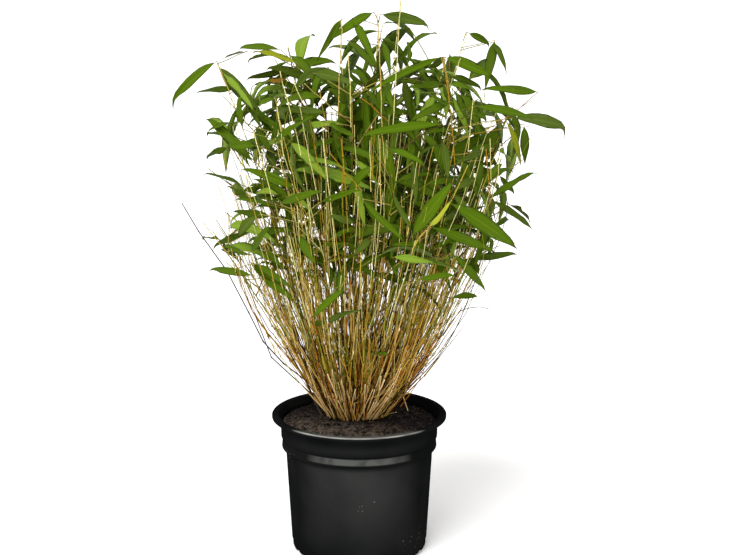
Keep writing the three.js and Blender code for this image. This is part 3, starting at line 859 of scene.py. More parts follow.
# Within freeRadius of its root a piece may touch the node that it is part of
def isFree(points, owner, kind, freeRadius, slack=None):
    points = np.asarray(points)
    half = halfThickness[kind] + (spacing["slack"] if slack is None else slack)
    reach = half + thickest
    known = claimed["points"][:claimed["count"]]
    within = (known > points.min(axis=0) - reach) & (known < points.max(axis=0) + reach)
    near = np.flatnonzero(within.all(axis=1))
    if not len(near):
        return True
    gaps = np.linalg.norm(points[:, None] - known[near][None], axis=2)
    own = claimed["owner"][near] == owners.setdefault(owner, len(owners))
    nearRoot = np.linalg.norm(points - points[0], axis=1) < freeRadius
    sameMass = spacing["sameMass"] if slack is None else slack
    clash = np.where(own, (gaps < sameMass) & ~nearRoot[:, None], gaps < half + claimed["half"][near])
    return not clash.any()


def stepsBetween(start, end):
    count = math.ceil(np.linalg.norm(end - start) / spacing["step"])
    return [lerp(start, end, index / count) for index in range(count + 1)]


def stepsAlong(curve, low, high):
    count = math.ceil(lengthOf(curve) * (high - low) / spacing["step"])
    return [curve(low + (high - low) * index / count) for index in range(count + 1)]


def crownReach(height):
    heights, reaches = zip(*crownProfile)
    if height <= heights[0] or height > heights[-1]:
        return 0
    return float(np.interp(height, heights, reaches))


def insideCrown(point):
    return math.hypot(point[0] - crownMiddle, point[1]) < crownReach(point[2])


# The plan of one leaf, as in the source: root, tip, the raised place where it is widest, and its sides
def placeLeaf(root, tip, facing, arch, roll):
    forward = unit(tip - root)
    lift = unit(facing - forward * (facing @ forward))
    widest = lerp(root, tip, leaf["widestAt"]) + lift * arch
    normal = turnAbout(lift, forward, roll)
    width = np.linalg.norm(tip - root) * leaf["widthShare"]
    return {"root": root, "tip": tip, "widest": widest, "lift": lift, "arch": arch,
            "side": np.cross(normal, forward), "width": width}


def leafSteps(blade):
    points = []
    stretches = ((blade["root"], blade["widest"], 0, 1), (blade["widest"], blade["tip"], 1, 0))
    for start, end, fromWidth, toWidth in stretches:
        spine = stepsBetween(start, end)
        for index, point in enumerate(spine):
            half = blade["width"] / 2 * lerp(fromWidth, toWidth, index / (len(spine) - 1))
            across = math.ceil(half / spacing["step"])
            for lane in range(-across, across + 1):
                points.append(point + blade["side"] * (half * lane / across if across else 0))
    return points


# What has grown: each entry is turned into a mesh later
twigs = []
leaves = []


def addTwig(owner, start, end, freeRadius, slack=None):
    points = stepsBetween(start, end)
    if not isFree(points, owner, "twig", freeRadius, slack):
        return False
    claim(points, owner, "twig")
    twigs.append({"start": start, "end": end, "radii": (twig["radius"], twig["tipRadius"])})
    return True


def addLeaf(owner, attach, along, tip, plan, tint, slack=None):
    root = attach - along * twig["leafSink"]
    blade = placeLeaf(root, tip, plan["facing"], plan["arch"], plan["roll"])
    points = leafSteps(blade)
    if not isFree(points, owner, "leaf", plan["freeRadius"], slack):
        return False
    claim(points, owner, "leaf")
    leaves.append({**blade, "root": attach, "tint": tint, "droop": None})
    return True


firstSpray = 0.04  # share of the culm that stays bare where its leaves begin
# Painted shade and light: inner sprays get darker tints, those at the clump's outside and top lighter ones
outerLitTints = {"mid": 0.26, "fresh": 0.34, "deep": 0.1, "dusky": 0.08, "light": 0.2, "yellow": 0.02}
innerShadeTints = {"shaded": 0.2, "deep": 0.26, "mid": 0.3, "fresh": 0.18, "light": 0.06}
outerFrom = {
    "reachWeight": 0.8,
    "heightWeight": 0.4,
    "lowest": 400,
    "highest": 750,
    "level": 0.58,
    "spread": 0.15,
}

mainSpray = {"shortest": 54, "longest": 104, "leaves": 4, "leafScale": (0.82, 1.1), "tries": 6, "slack": -0.4}
finerSpray = {"shortest": 26, "longest": 60, "leaves": 3, "leafScale": (0.62, 1.0), "tries": 5, "slack": -0.8}


def sprayTint(place, draw):
    reach = math.hypot(place[0] - crownMiddle, place[1]) / max(crownReach(place[2]), 1)
    rise = np.interp(place[2], (outerFrom["lowest"], outerFrom["highest"]), (0, 1))
    outer = reach * outerFrom["reachWeight"] + rise * outerFrom["heightWeight"]
    isOuter = outer + draw(-outerFrom["spread"], outerFrom["spread"]) > outerFrom["level"]
    return dealFrom(outerLitTints if isOuter else innerShadeTints, draw)


# A spray is one twig with a leaf at its end and more leaves down its sides
def growSpray(owner, curve, share, azimuth, draw, size):
    start = curve(share)
    end = None
    for attempt in range(size["tries"]):
        opening = math.radians(draw(*twig["openAngle"]))
        outward = directionOf(azimuth + draw(-1, 1) * attempt * twig["veer"], 0)
        along = unit(heading(curve, share) * math.cos(opening) + outward * math.sin(opening))
        tip = start + along * draw(size["shortest"], size["longest"])
        if insideCrown(tip) and addTwig(owner, start, tip, twig["ownReach"], size["slack"]):
            end = tip
            break
    if end is None:
        return
    tint = sprayTint(end, draw)
    along = unit(end - start)
    bearing = math.atan2(along[1], along[0])
    for index in range(size["leaves"]):
        attach = lerp(start, end, 1 - index * draw(*twig["leafGap"]))
        turn = 0 if index == 0 else (leaf["sideTurn"] if index % 2 else -leaf["sideTurn"])
        for _ in range(leaf["tries"]):
            towards = directionOf(bearing + turn + draw(-1, 1) * leaf["turnSpread"], draw(*leaf["rise"]))
            tip = attach + towards * draw(leaf["shortest"], leaf["longest"]) * draw(*size["leafScale"])
            outward = unit(vector((tip[0] - crownMiddle, tip[1], 0))) * draw(*leaf["facingShare"])
            plan = {"arch": draw(*leaf["arch"]), "roll": draw(-leaf["rollSpread"], leaf["rollSpread"]),
                    "freeRadius": leaf["ownReach"], "facing": outward + vector((0, 0, 1))}
            if not insideCrown(tip) or not isFilled(tip, draw):
                continue
            if addLeaf(owner, attach, along, tip, plan, tint, size["slack"]):
                break


def ringTip(index):
    share = math.sqrt((index + 0.5) / ringCulms["count"])
    angle = math.radians(ringCulms["firstAngle"] + index * goldenAngle)
    reach = lerp(ringCulms["innerReach"], ringCulms["outerReach"], share)
    fullHeight = lerp(ringCulms["topHeight"], ringCulms["edgeHeight"], share * share)
    skirt = index % ringCulms["skirtEvery"] == ringCulms["skirtEvery"] - 1
    lean = reach * ringCulms["skirtLean"] if skirt else reach
    height = fullHeight - ringCulms["skirtDrop"] if skirt else fullHeight
    return (crownMiddle + lean * math.cos(angle), lean * math.sin(angle), height)


def gathered(foot):
    return vector((foot[0], foot[1] * clump["footDepth"] + clump["footBack"], foot[2]))


def planCulms():
    shared = {name: ringCulms[name] for name in ("bow", "leafFrom", "sprays")}
    plans = list(shapingCulms.values())
    plans += [{**shared, "tip": ringTip(index)} for index in range(ringCulms["count"])]
    culms = []
    for number, plan in enumerate(plans, 1):
        tip = vector(plan["tip"])
        share = clump["footRadius"] / clump["fanRadius"]
        foot = vector((tip[0] * share + clump["footShift"], tip[1] * share, footLevel))
        names = {"name": f"culm_{number:02d}", "massName": f"foliage_{number:02d}"}
        culms.append({**plan, **names, "tip": tip, "foot": foot})
    for _ in range(clump["settlingPasses"]):
        for culm in culms:
            for other in culms:
                apart = culm["foot"] - other["foot"]
                if other is not culm and np.linalg.norm(apart) < clump["minFootSpacing"]:
                    culm["foot"] = culm["foot"] + unit(apart) * clump["settlingStep"]
    for culm in culms:
        culm["foot"] = gathered(culm["foot"])
        culm["curve"] = culmCurve(culm["foot"], culm["tip"], culm["bow"])
    return culms


# A bare companion rises from the same foot and ends among the leaves
def growCompanion(culm, draw):
    for _ in range(companions["tries"]):
        share = draw(companions["lowTip"], companions["highTip"])
        outward = directionOf(draw(0, 2 * math.pi), 0)
        tip = culm["curve"](share) + outward * draw(*companions["spread"])
        curve = culmCurve(culm["foot"], tip, draw(*companions["bow"]))
        points = stepsAlong(curve, 0, 1)
        if isFree(points, culm["name"], "culm", companions["sharedFoot"]):
            claim(points, culm["name"], "culm")
            return curve
    return None


# Where the crown lets leaves grow: thin near the bare foot, at its very top and towards its edge. The leaves
# that show in front are placed one by one, so these keep behind them.
crownFill = {
    "heights": (365, 400, 440, 480, 600, 645, 690, 745),
    "chances": (0.14, 0.55, 0.9, 1.0, 0.95, 0.56, 0.24, 0.04),
    "middle": 22,  # the crown is fuller on its right
    "solidReach": 0.7,  # share of the reach inside which nothing is thinned
    "edgeChance": 0.3,
    "solidWidth": 0.6,
    "sideChance": 0.16,
    "frontFrom": (610, 690),  # heights between which the front share falls
    "frontShare": (0.74, 0.32),
}


def isFilled(place, draw):
    reach = max(crownReach(place[2]), 1)
    across = abs(place[0] - crownFill["middle"])
    front = np.interp(place[2], crownFill["frontFrom"], crownFill["frontShare"])
    if -place[1] > front * math.sqrt(max(reach * reach - across * across, 0)):
        return False
    chance = np.interp(place[2], crownFill["heights"], crownFill["chances"])
    share = math.hypot(across, place[1]) / reach
    edge = np.interp(share, (crownFill["solidReach"], 1), (1, crownFill["edgeChance"]))
    side = np.interp(across / reach, (crownFill["solidWidth"], 0.95), (1, crownFill["sideChance"]))
    return draw() < chance * edge * side


def standClump():
    culms = planCulms()
    for culm in culms:
        claim(stepsAlong(culm["curve"], 0, culm["leafFrom"]), culm["name"], "culm")
        claim(stepsAlong(culm["curve"], culm["leafFrom"], 1), culm["massName"], "culm")
    for name, stem in dryStems.items():
        points = [vector((*stem["foot"], footLevel)), *[vector(bend) for bend in stem["bends"]]]
        stem["curve"] = throughPoints(points)
        claim(stepsAlong(stem["curve"], 0, 1), name, "culm")
    for index, culm in enumerate(culms):
        culm["companion"] = growCompanion(culm, seededDraw(clump["clumpSeed"] + index))
    print("clump stands:", len(culms), "culms")
    return culms


def growSprays(culms):
    for index, culm in enumerate(culms):
        draw = seededDraw(clump["leafSeed"] + index)
        lowest = culm["leafFrom"] + firstSpray
        highest = 1 - culm.get("bareTop", ringCulms["bareTop"])
        turn = draw(0, 2 * math.pi)
        for spray in range(culm["sprays"]):
            share = lerp(lowest, highest, (spray + draw(0, 0.6)) / culm["sprays"])
            azimuth = turn + spray * math.radians(goldenAngle)
            growSpray(culm["massName"], culm["curve"], share, azimuth, draw, mainSpray)
    print("sprays grown by the source's rule:", len(twigs), "twigs and", len(leaves), "leaves")


# Leaves that show in front, by tint: where root and tip are seen in the picture and how wide the leaf looks,
# in pixels, and for some how far the tip droops, in mm. Each lies at its tint's share of the way from the
# middle of the crown to its front.
seenLeaves = {
    "fresh": [
        (441, 57, 362, 95, 10), (444, 57, 493, 77, 14), (538, 92, 479, 88, 10), (475, 106, 535, 119, 10),
        (442, 124, 356, 135, 11), (385, 147, 427, 165, 9), (412, 236, 456, 177, 17), (450, 203, 518, 248, 18),
        (431, 227, 498, 252, 12), (450, 253, 487, 290, 11), (417, 280, 459, 275, 9), (362, 199, 406, 243, 9),
        (297, 189, 240, 167, 14), (280, 204, 325, 189, 9), (320, 202, 364, 189, 10), (251, 252, 272, 222, 10),
        (272, 145, 318, 113, 9), (217, 61, 167, 103, 12, 24), (346, 288, 311, 317, 9),
        (328, 122, 358, 137, 8), (374, 12, 327, 41, 10), (352, 18, 379, 70, 10), (448, 83, 473, 91, 7),
    ],
    "mid": [
        (447, 79, 414, 71, 6), (445, 84, 405, 87, 7), (450, 108, 412, 86, 6), (452, 101, 407, 122, 8),
        (387, 85, 396, 115, 6), (408, 66, 407, 38, 5), (420, 112, 441, 127, 7), (275, 206, 232, 198, 7),
        (291, 198, 250, 177, 9), (252, 255, 222, 244, 6), (296, 234, 316, 265, 12), (256, 264, 297, 290, 8),
        (262, 278, 296, 302, 10), (263, 250, 284, 268, 10), (254, 276, 208, 268, 8), (487, 200, 540, 169, 9),
        (482, 186, 504, 161, 9), (254, 163, 204, 114, 14), (258, 146, 226, 146, 11), (277, 98, 257, 105, 8),
        (323, 113, 289, 121, 7), (337, 137, 310, 146, 8), (342, 19, 316, 61, 8), (272, 141, 277, 115, 7),
        (243, 129, 240, 91, 9), (281, 50, 236, 47, 9), (450, 298, 479, 296, 8), (241, 122, 206, 131, 6),
        (372, 355, 390, 354, 4), (380, 38, 391, 76, 9),
    ],
    "dusky": [
        (380, 14, 434, 27, 14, 14), (219, 67, 264, 121, 15), (313, 73, 357, 85, 14), (328, 112, 266, 107, 9),
        (392, 190, 412, 231, 8), (413, 162, 415, 208, 9), (260, 214, 238, 236, 11),
        (326, 322, 364, 309, 7), (355, 224, 326, 214, 7), (443, 140, 448, 181, 12), (473, 180, 456, 190, 10),
        (372, 238, 352, 256, 9), (513, 118, 571, 128, 15, 26), (483, 150, 452, 165, 9),
    ],
    "deep": [
        (347, 40, 378, 69, 9), (390, 68, 414, 43, 7), (450, 75, 484, 88, 8), (367, 88, 345, 67, 7),
        (367, 89, 391, 121, 8), (467, 32, 491, 46, 10), (494, 42, 508, 77, 7), (495, 40, 485, 90, 11),
        (524, 124, 525, 164, 10), (468, 153, 502, 141, 8), (474, 113, 487, 121, 9), (348, 105, 325, 87, 12),
        (443, 84, 456, 112, 9), (452, 88, 469, 122, 9), (463, 262, 519, 252, 8), (452, 205, 517, 242, 9),
        (492, 200, 536, 232, 9), (498, 174, 515, 194, 5), (482, 160, 478, 198, 10), (244, 186, 201, 172, 5),
        (273, 217, 231, 210, 8), (262, 189, 243, 190, 6), (256, 229, 211, 247, 6), (292, 272, 257, 261, 6),
        (292, 278, 313, 271, 6), (276, 147, 304, 139, 7), (247, 104, 263, 129, 9), (255, 127, 272, 151, 8),
        (350, 131, 326, 135, 6), (240, 88, 195, 92, 3), (248, 51, 222, 59, 3), (272, 55, 246, 61, 5),
        (230, 147, 205, 158, 3), (222, 240, 202, 238, 3), (249, 198, 225, 184, 3), (224, 136, 206, 134, 3),
        (328, 262, 331, 285, 8), (308, 322, 329, 322, 5),
    ],
    "shaded": [
        (360, 96, 384, 67, 8), (404, 78, 412, 124, 9), (406, 134, 420, 162, 12), (430, 113, 448, 140, 10),
        (340, 87, 352, 106, 9), (445, 59, 425, 69, 6), (507, 203, 531, 222, 5), (482, 164, 499, 162, 4),
        (296, 186, 317, 183, 7), (313, 222, 296, 235, 6), (335, 240, 303, 246, 7), (463, 257, 480, 273, 11),
        (289, 147, 305, 161, 7), (313, 79, 263, 66, 12), (300, 72, 261, 86, 7), (288, 70, 243, 78, 6),
        (416, 190, 436, 204, 9), (424, 178, 440, 196, 9),
    ],
    "light": [(391, 257, 438, 262, 9), (222, 72, 256, 112, 8)],
    "yellow": [(298, 63, 250, 50, 8), (505, 119, 522, 166, 9)],
    "lemon": [(426, 229, 452, 199, 7)],
    "dry": [(287, 80, 267, 81, 4)],
}
seenShare = {"fresh": 0.92, "mid": 0.8, "dusky": 0.86, "deep": 0.62, "shaded": 0.4, "light": 0.95,
             "yellow": 0.9, "lemon": 0.97, "dry": 0.9}
seenLeaf = {
    "rootBack": 0.12,
    "spread": 0.05,
    "leastWidth": 12.5,
    "tilt": 0.18,
    "arch": (1.5, 6),
    "mostFore": 55,
    "seed": 31337,
}
frontTwig = {"leastRise": 12, "mostRise": 110, "radii": (0.7, 0.5)}

# Thin canes and twigs that show in front: tint, thickness and the places in the picture that they run through
seenStems = [
    ("pale", 0.9, [(401, 2), (399, 24), (397, 62), (395, 92), (393, 125)]),
    ("tan", 0.9, [(377, 14), (379, 45), (381, 90), (382, 130), (385, 165)]),
    ("tan", 0.9, [(341, 20), (342, 36), (340, 62), (338, 112)]),
    ("pale", 0.8, [(348, 53), (350, 84), (351, 128)]),
    ("gold", 1.0, [(443, 57), (447, 83), (452, 125), (455, 165)]),
    ("pale", 0.8, [(467, 34), (461, 56), (455, 76)]),
    ("olive", 0.6, [(484, 90), (485, 104)]),
    ("pale", 0.7, [(474, 92), (471, 120), (468, 152)]),
    ("tan", 0.8, [(219, 66), (226, 84), (237, 106)]),
    ("pale", 0.8, [(280, 71), (285, 92), (293, 121), (301, 156)]),
    ("pale", 0.7, [(293, 80), (303, 103)]),
    ("pale", 0.8, [(277, 107), (281, 132), (284, 160)]),
    ("pale", 0.9, [(253, 130), (260, 155), (268, 182), (272, 200)]),
    ("pale", 0.6, [(241, 159), (252, 192), (264, 221)]),
    ("pale", 0.9, [(323, 138), (326, 166), (330, 198), (333, 226), (336, 256)]),
    ("gold", 1.0, [(341, 138), (344, 170), (346, 196), (348, 232)]),
    ("gold", 0.8, [(329, 152), (344, 171), (362, 191)]),
    ("tan", 1.0, [(380, 138), (380, 172), (381, 206)]),
    ("pale", 0.7, [(370, 140), (371, 192)]),
    ("gold", 0.9, [(486, 148), (488, 172), (489, 198)]),
    ("pale", 0.7, [(500, 143), (498, 174), (494, 193)]),
    ("pale", 0.7, [(490, 138), (491, 180)]),
    ("gold", 0.7, [(450, 143), (474, 134), (531, 126)]),
    ("rust", 0.7, [(485, 131), (506, 118), (538, 95)]),
    ("rust", 0.7, [(361, 98), (375, 109), (389, 122)]),
    ("straw", 1.0, [(412, 250), (426, 229), (452, 199), (468, 165)]),
    ("olive", 0.7, [(482, 233), (484, 256), (479, 279)]),
    ("grey", 0.7, [(508, 201), (505, 222), (498, 243), (487, 266), (468, 292)]),
    ("tan", 0.7, [(231, 248), (236, 272), (244, 300)]),
    ("tan", 0.6, [(236, 255), (241, 278), (247, 301)]),
    ("tan", 0.6, [(251, 255), (255, 277), (260, 300)]),
    ("husk", 1.2, [(372, 413), (386, 407), (400, 398), (407, 388)]),
    ("husk", 0.9, [(403, 396), (408, 402), (408, 411)]),
    ("tan", 1.0, [(378, 413), (393, 403), (404, 394), (411, 393)]),
    ("rust", 0.9, [(318, 398), (296, 368), (270, 336), (252, 308), (240, 276)]),
    ("tan", 0.9, [(322, 396), (300, 362), (278, 330), (262, 300), (252, 268)]),
    ("gold", 0.9, [(316, 392), (288, 356), (262, 326), (247, 300), (236, 266)]),
    ("straw", 0.8, [(326, 392), (304, 356), (284, 322), (268, 290), (259, 262)]),
    ("amber", 0.9, [(324, 400), (306, 372), (288, 344), (272, 314), (264, 286)]),
    ("umber", 0.8, [(314, 390), (286, 354), (260, 324), (245, 294), (233, 264)]),
    ("rust", 0.9, [(402, 398), (420, 366), (440, 330), (452, 296), (462, 268)]),
    ("gold", 0.9, [(398, 392), (416, 352), (434, 318), (446, 284), (456, 256)]),
    ("pale", 0.5, [(337, 407), (332, 415), (333, 424)]),
    ("tan", 0.5, [(343, 409), (345, 415), (347, 421)]),
    ("tan", 0.9, [(369, 409), (371, 418), (370, 426)]),
    ("pale", 0.5, [(384, 415), (393, 409), (397, 412)]),
]
seenStemShare = 0.88
fineCanes = {
    "count": 34,
    "seed": 8111,
    "across": (246, 498),
    "down": (84, 196),
    "length": (45, 120),
    "middle": 363,
    "lean": 0.26,
    "share": (0.66, 0.9),
    "radius": (0.4, 0.7),
    "tints": {"pale": 0.4, "gold": 0.24, "straw": 0.2, "tan": 0.16},
}

# The clump beyond the source's culms: many thin canes, some leafy, some bare, some broken short
thicket = {
    "seed": 40961,
    "leafy": 84,
    "tall": 90,
    "bare": 330,
    "broken": 110,
    "footReach": 43,
    "lean": 0.8,
    "leafyHeight": (705, 520),  # at the middle and at the edge of the clump
    "tallHeight": (560, 720),
    "tallSpread": 0.35,
    "bareHeight": (340, 555),
    "brokenHeight": (225, 340),
    "splay": 52,  # how far the edge canes bend out at the foot
    "fanHeight": 520,
    "fanReach": 208,
    "fanWide": 1.07,
    "fanMiddle": 12,
    "sway": (3, 15),
    "swayTurns": (0.5, 1.3),
    "radius": (0.48, 0.98),
    "tipShare": 0.5,
    "crowding": 0.38,  # under 1, so more canes stand at the clump's edge
    "leanMost": 1.4,
    "leafySpread": (-45, 30),
    "topRoom": 20,
    "edgeDrop": 90,
    "reachSpread": (0.82, 1.05),
    "heightSpread": (-30, 30),
    "splaySpread": (0.5, 1.25),
}

# Bare side shoots that give the lower clump its wiry look
offshoots = {
    "count": 560,
    "seed": 60013,
    "from": (0.06, 0.8),
    "opening": (8, 40),
    "length": (28, 140),
    "rise": 0.14,
    "radii": (0.45, 0.28),
    "tints": {"pale": 0.26, "straw": 0.26, "gold": 0.2, "rust": 0.12, "tan": 0.16},
}

# Single pieces that the eye picks out low on the clump: tint, radii and the points they run through
strays = [
    ("grey", (0.8, 0.5), [(118, -22, 318), (139, -26, 352), (160, -28, 361), (184, -30, 358)]),
    ("grey", (0.9, 0.5), [(60, -30, 232), (118, -34, 300), (152, -36, 372), (172, -36, 440)]),
    ("rust", (0.8, 0.4), [(58, -24, 214), (76, -40, 244), (92, -48, 276), (98, -50, 300)]),
    ("tan", (0.8, 0.5), [(-118, -20, 292), (-134, -26, 336), (-158, -30, 392), (-170, -30, 470)]),
    ("grey", (0.8, 0.4), [(-100, 10, 282), (-134, 6, 330), (-163, 4, 398), (-176, 2, 452)]),
    ("tan", (0.7, 0.4), [(-60, -36, 352), (-24, -60, 372), (20, -70, 376), (52, -72, 372)]),
]

finerGrowth = {
    "onCulm": 3,
    "onCane": 2,
    "onCompanion": 2,
    "from": 0.52,
    "seed": 50021,
}

# Old brown and golden sheaths cover the foot, green and straw show higher up, and the heart gets painted
# shade
stemTints = {
    "foot": {"husk": 0.66, "amber": 0.14, "rust": 0.1, "umber": 0.1},
    "footDark": {"umber": 0.74, "rust": 0.16, "olive": 0.1},
    "lowDark": {"umber": 0.44, "olive": 0.2, "rust": 0.18, "gold": 0.18},
    "darkBelow": -0.55,
    # Darker tints for the foot of the clump's heart: painted shade
    "heartFoot": {"umber": 0.66, "rust": 0.18, "husk": 0.16},
    "low": {"gold": 0.18, "amber": 0.16, "straw": 0.12, "pale": 0.08, "husk": 0.14, "rust": 0.07,
            "olive": 0.07, "umber": 0.18},
    "mid": {"straw": 0.24, "olive": 0.18, "gold": 0.16, "green": 0.12, "tan": 0.16, "pale": 0.14},
    "high": {"pale": 0.4, "straw": 0.16, "green": 0.28, "olive": 0.16},
    "top": {"pale": 0.74, "tan": 0.14, "straw": 0.12},
    # Darker tints for the clump's heart higher up: painted shade
    "heart": {"umber": 0.56, "olive": 0.26, "gold": 0.24},
    "heartSpread": 0.55,
    "heartShare": 0.7,
    # The low canes left of the middle are greener, those right of it are redder
    "left": {"olive": 0.4, "green": 0.24, "umber": 0.2, "gold": 0.16},
    "right": {"rust": 0.36, "amber": 0.32, "umber": 0.18, "straw": 0.14},
    "sideReach": 30,
    "sideShare": 0.55,
    "tops": (242, 300, 420, 560),  # where the foot, the low, the mid and the high part end
}
sideDraw = seededDraw(9029)


# Canes that stand side by side look alike, so dark and pale ones take turns across the clump
def dealStemTints(depth, across, draw):
    heart = depth < stemTints["heartSpread"] and draw() < stemTints["heartShare"]
    patch = math.sin(across * 0.8) + math.sin(across * 1.7 + 1.3)
    foot, low = ("footDark", "lowDark") if patch < stemTints["darkBelow"] else ("foot", "low")
    bands = ("heartFoot", "heart", "heart", "high") if heart else (foot, low, "mid", "high")
    tints = [dealFrom(stemTints[band], draw) for band in bands] + [dealFrom(stemTints["top"], sideDraw)]
    if abs(across) < stemTints["sideReach"] and sideDraw() < stemTints["sideShare"]:
        tints[1] = dealFrom(stemTints["left" if across < 0 else "right"], sideDraw)
    return tints


def nearestPlace(limbs, place):
    best = None
    for limb in limbs:
        rise = place[2] - limb[:, 2]
        usable = (rise > frontTwig["leastRise"]) & (rise < frontTwig["mostRise"])
        if not usable.any():
            continue
        gaps = np.linalg.norm(limb[usable] - place, axis=1)
        if best is None or gaps.min() < best[0]:
            best = (gaps.min(), limb[usable][gaps.argmin()])
    return best[1]


# A place that the picture shows, at a depth along the camera's view
def placeAt(across, down, depth):
    dip = math.radians(studio["cameraDip"])
    camera = vector(studio["cameraPlace"])
    ray = vector((across - studio["frame"][0] / 2, 0, 0))
    ray += focalPixels * vector((0, math.cos(dip), -math.sin(dip)))
    ray += (studio["frame"][1] / 2 - down) * vector((0, math.sin(dip), math.cos(dip)))
    return camera + ray * ((depth - camera[1]) / ray[1])


# The same, at a share of the way from the middle of the crown to its front
def seenPlace(across, down, share):
    place = placeAt(across, down, 0)
    for _ in range(4):
        side = place[0] - crownMiddle
        place = placeAt(across, down, -share * math.sqrt(max(crownReach(place[2]) ** 2 - side * side, 0)))
    return place


# A leaf that looks narrower than leaves grow is one that is seen from its edge
def growSeenLeaves(culms):
    draw = seededDraw(seenLeaf["seed"])
    limbs = []
    for culm in culms:
        for curve, low, high in ((culm["curve"], culm["leafFrom"] * 0.7, 1), (culm["companion"], 0.6, 1)):
            if curve:
                limbs.append(np.array(stepsAlong(curve, low, high)))
    for tint, rows in seenLeaves.items():
        for *places, seenWidth, droop in [(*row, None)[:6] for row in rows]:
            share = seenShare[tint] + draw(-1, 1) * seenLeaf["spread"]
            root = seenPlace(*places[:2], share - seenLeaf["rootBack"])
            tip = seenPlace(*places[2:], share)
            fore = np.clip(tip[1] - root[1], -seenLeaf["mostFore"], seenLeaf["mostFore"])
            tip = placeAt(*places[2:], root[1] + fore)
            facing = vector((draw(-1, 1) * seenLeaf["tilt"], -0.93, 0.36 + draw(-1, 1) * seenLeaf["tilt"]))
            scale = focalPixels / (tip[1] - studio["cameraPlace"][1])
            wide = max(seenWidth / scale, seenLeaf["leastWidth"])
            roll = math.acos(seenWidth / scale / wide) * (1 if draw() < 0.5 else -1)
            blade = placeLeaf(root, tip, facing, draw(*seenLeaf["arch"]), roll)
            blade["width"] = wide
            claim(leafSteps(blade), "front", "leaf")
            leaves.append({**blade, "tint": tint, "droop": droop})
            start = nearestPlace(limbs, root)
            twigs.append({"start": start, "end": root, "radii": frontTwig["radii"]})
    print("leaves placed as seen:", len(leaves))


# What stands and is jointed later: a curve, the share of it that is drawn, its radii, and its tint in each
# band of height
stems = []


def addStem(curve, high, radii, depth, draw, kind="cane", node=None):
    tints = dealStemTints(depth, curve(0)[0] - clump["footShift"], draw)
    stems.append({"curve": curve, "high": high, "radii": radii, "tints": tints, "kind": kind, "node": node})


# A plain stem keeps one tint from end to end
def plainStem(curve, radii, tint, kind="twig", node=None):
    tints = (tint,) * (len(stemTints["tops"]) + 1)
    return {"curve": curve, "high": 1, "radii": radii, "tints": tints, "kind": kind, "node": node}


def swaying(curve, side, amount, turns, phase):
    def place(share):
        swing = math.sin(2 * math.pi * turns * share + phase) * min(1, share * 4)
        return curve(share) + side * amount * swing

    return place


# A cane of the fan leans out at its foot and then rises, so the clump opens like a sheaf
def growThicket():
    draw = seededDraw(thicket["seed"])
    canes = []
    for kind in ("leafy", "tall", "bare", "broken"):
        for _ in range(thicket[kind]):
            spread, bearing = draw() ** thicket["crowding"], draw(0, 2 * math.pi)
            if kind == "tall":
                spread = lerp(thicket["tallSpread"], 1, spread)
            foot = directionOf(bearing, 0) * spread * thicket["footReach"]
            foot = gathered(foot + vector((clump["footShift"], 0, footLevel - 1.5)))
            lean = directionOf(bearing + draw(-1, 1) * thicket["lean"] * (thicket["leanMost"] - spread), 0)
            low, high = thicket[kind + "Height"]
            if kind == "leafy":
                height = lerp(low, high, spread) + draw(*thicket["leafySpread"])
            else:
                height = draw(low, high)
            ceiling = thicket["leafyHeight"][0] + thicket["topRoom"] - thicket["edgeDrop"] * spread * spread
            height = min(height, ceiling)
            full = lean * thicket["fanReach"] * spread * draw(*thicket["reachSpread"])
            full = full * vector((thicket["fanWide"], 1, 1))
            full[0] += thicket["fanMiddle"]
            full[2] += max(thicket["fanHeight"], height) + draw(*thicket["heightSpread"])
            splay = -thicket["splay"] * spread * spread * draw(*thicket["splaySpread"])
            side = unit(np.cross(full - foot, directionOf(draw(0, 2 * math.pi), 0)))
            curve = swaying(culmCurve(foot, full, splay), side, draw(*thicket["sway"]),
                            draw(*thicket["swayTurns"]), draw(0, 2 * math.pi))
            last = 1.0
            while last > 0.1 and curve(last)[2] > height:
                last -= 0.02
            owner = f"cane{len(canes)}"
            radius = draw(*thicket["radius"])
            canes.append({"curve": curve, "last": last, "kind": kind, "owner": owner})
            addStem(curve, last, (radius, radius * thicket["tipShare"]), spread, draw)
            claim(stepsAlong(curve, 0, last), owner, "cane")
    print("thicket grown:", len(canes), "canes")
    return canes


def growOffshoots(culms, canes):
    draw = seededDraw(offshoots["seed"])
    carriers = [(cane["curve"], cane["last"]) for cane in canes if cane["kind"] != "broken"]
    carriers += [(culm["curve"], 0.8) for culm in culms]
    for _ in range(offshoots["count"]):
        curve, last = carriers[int(draw() * len(carriers))]
        share = draw(*offshoots["from"]) * last
        start, ahead = curve(share), heading(curve, share)
        side = unit(np.cross(ahead, directionOf(draw(0, 2 * math.pi), 0)))
        opening = math.radians(draw(*offshoots["opening"]))
        length = draw(*offshoots["length"])
        end = start + (ahead * math.cos(opening) + side * math.sin(opening)) * length
        if math.hypot(end[0] - crownMiddle, end[1]) > max(crownReach(end[2]), 60) * 0.97:
            continue
        bend = lerp(start, end, 0.5) + side * length * draw(-0.04, offshoots["rise"])
        tint = dealFrom(offshoots["tints"], draw)
        stems.append(plainStem(throughPoints([start, bend, end]), offshoots["radii"], tint))
    print("offshoots grown:", len(stems), "stems so far")


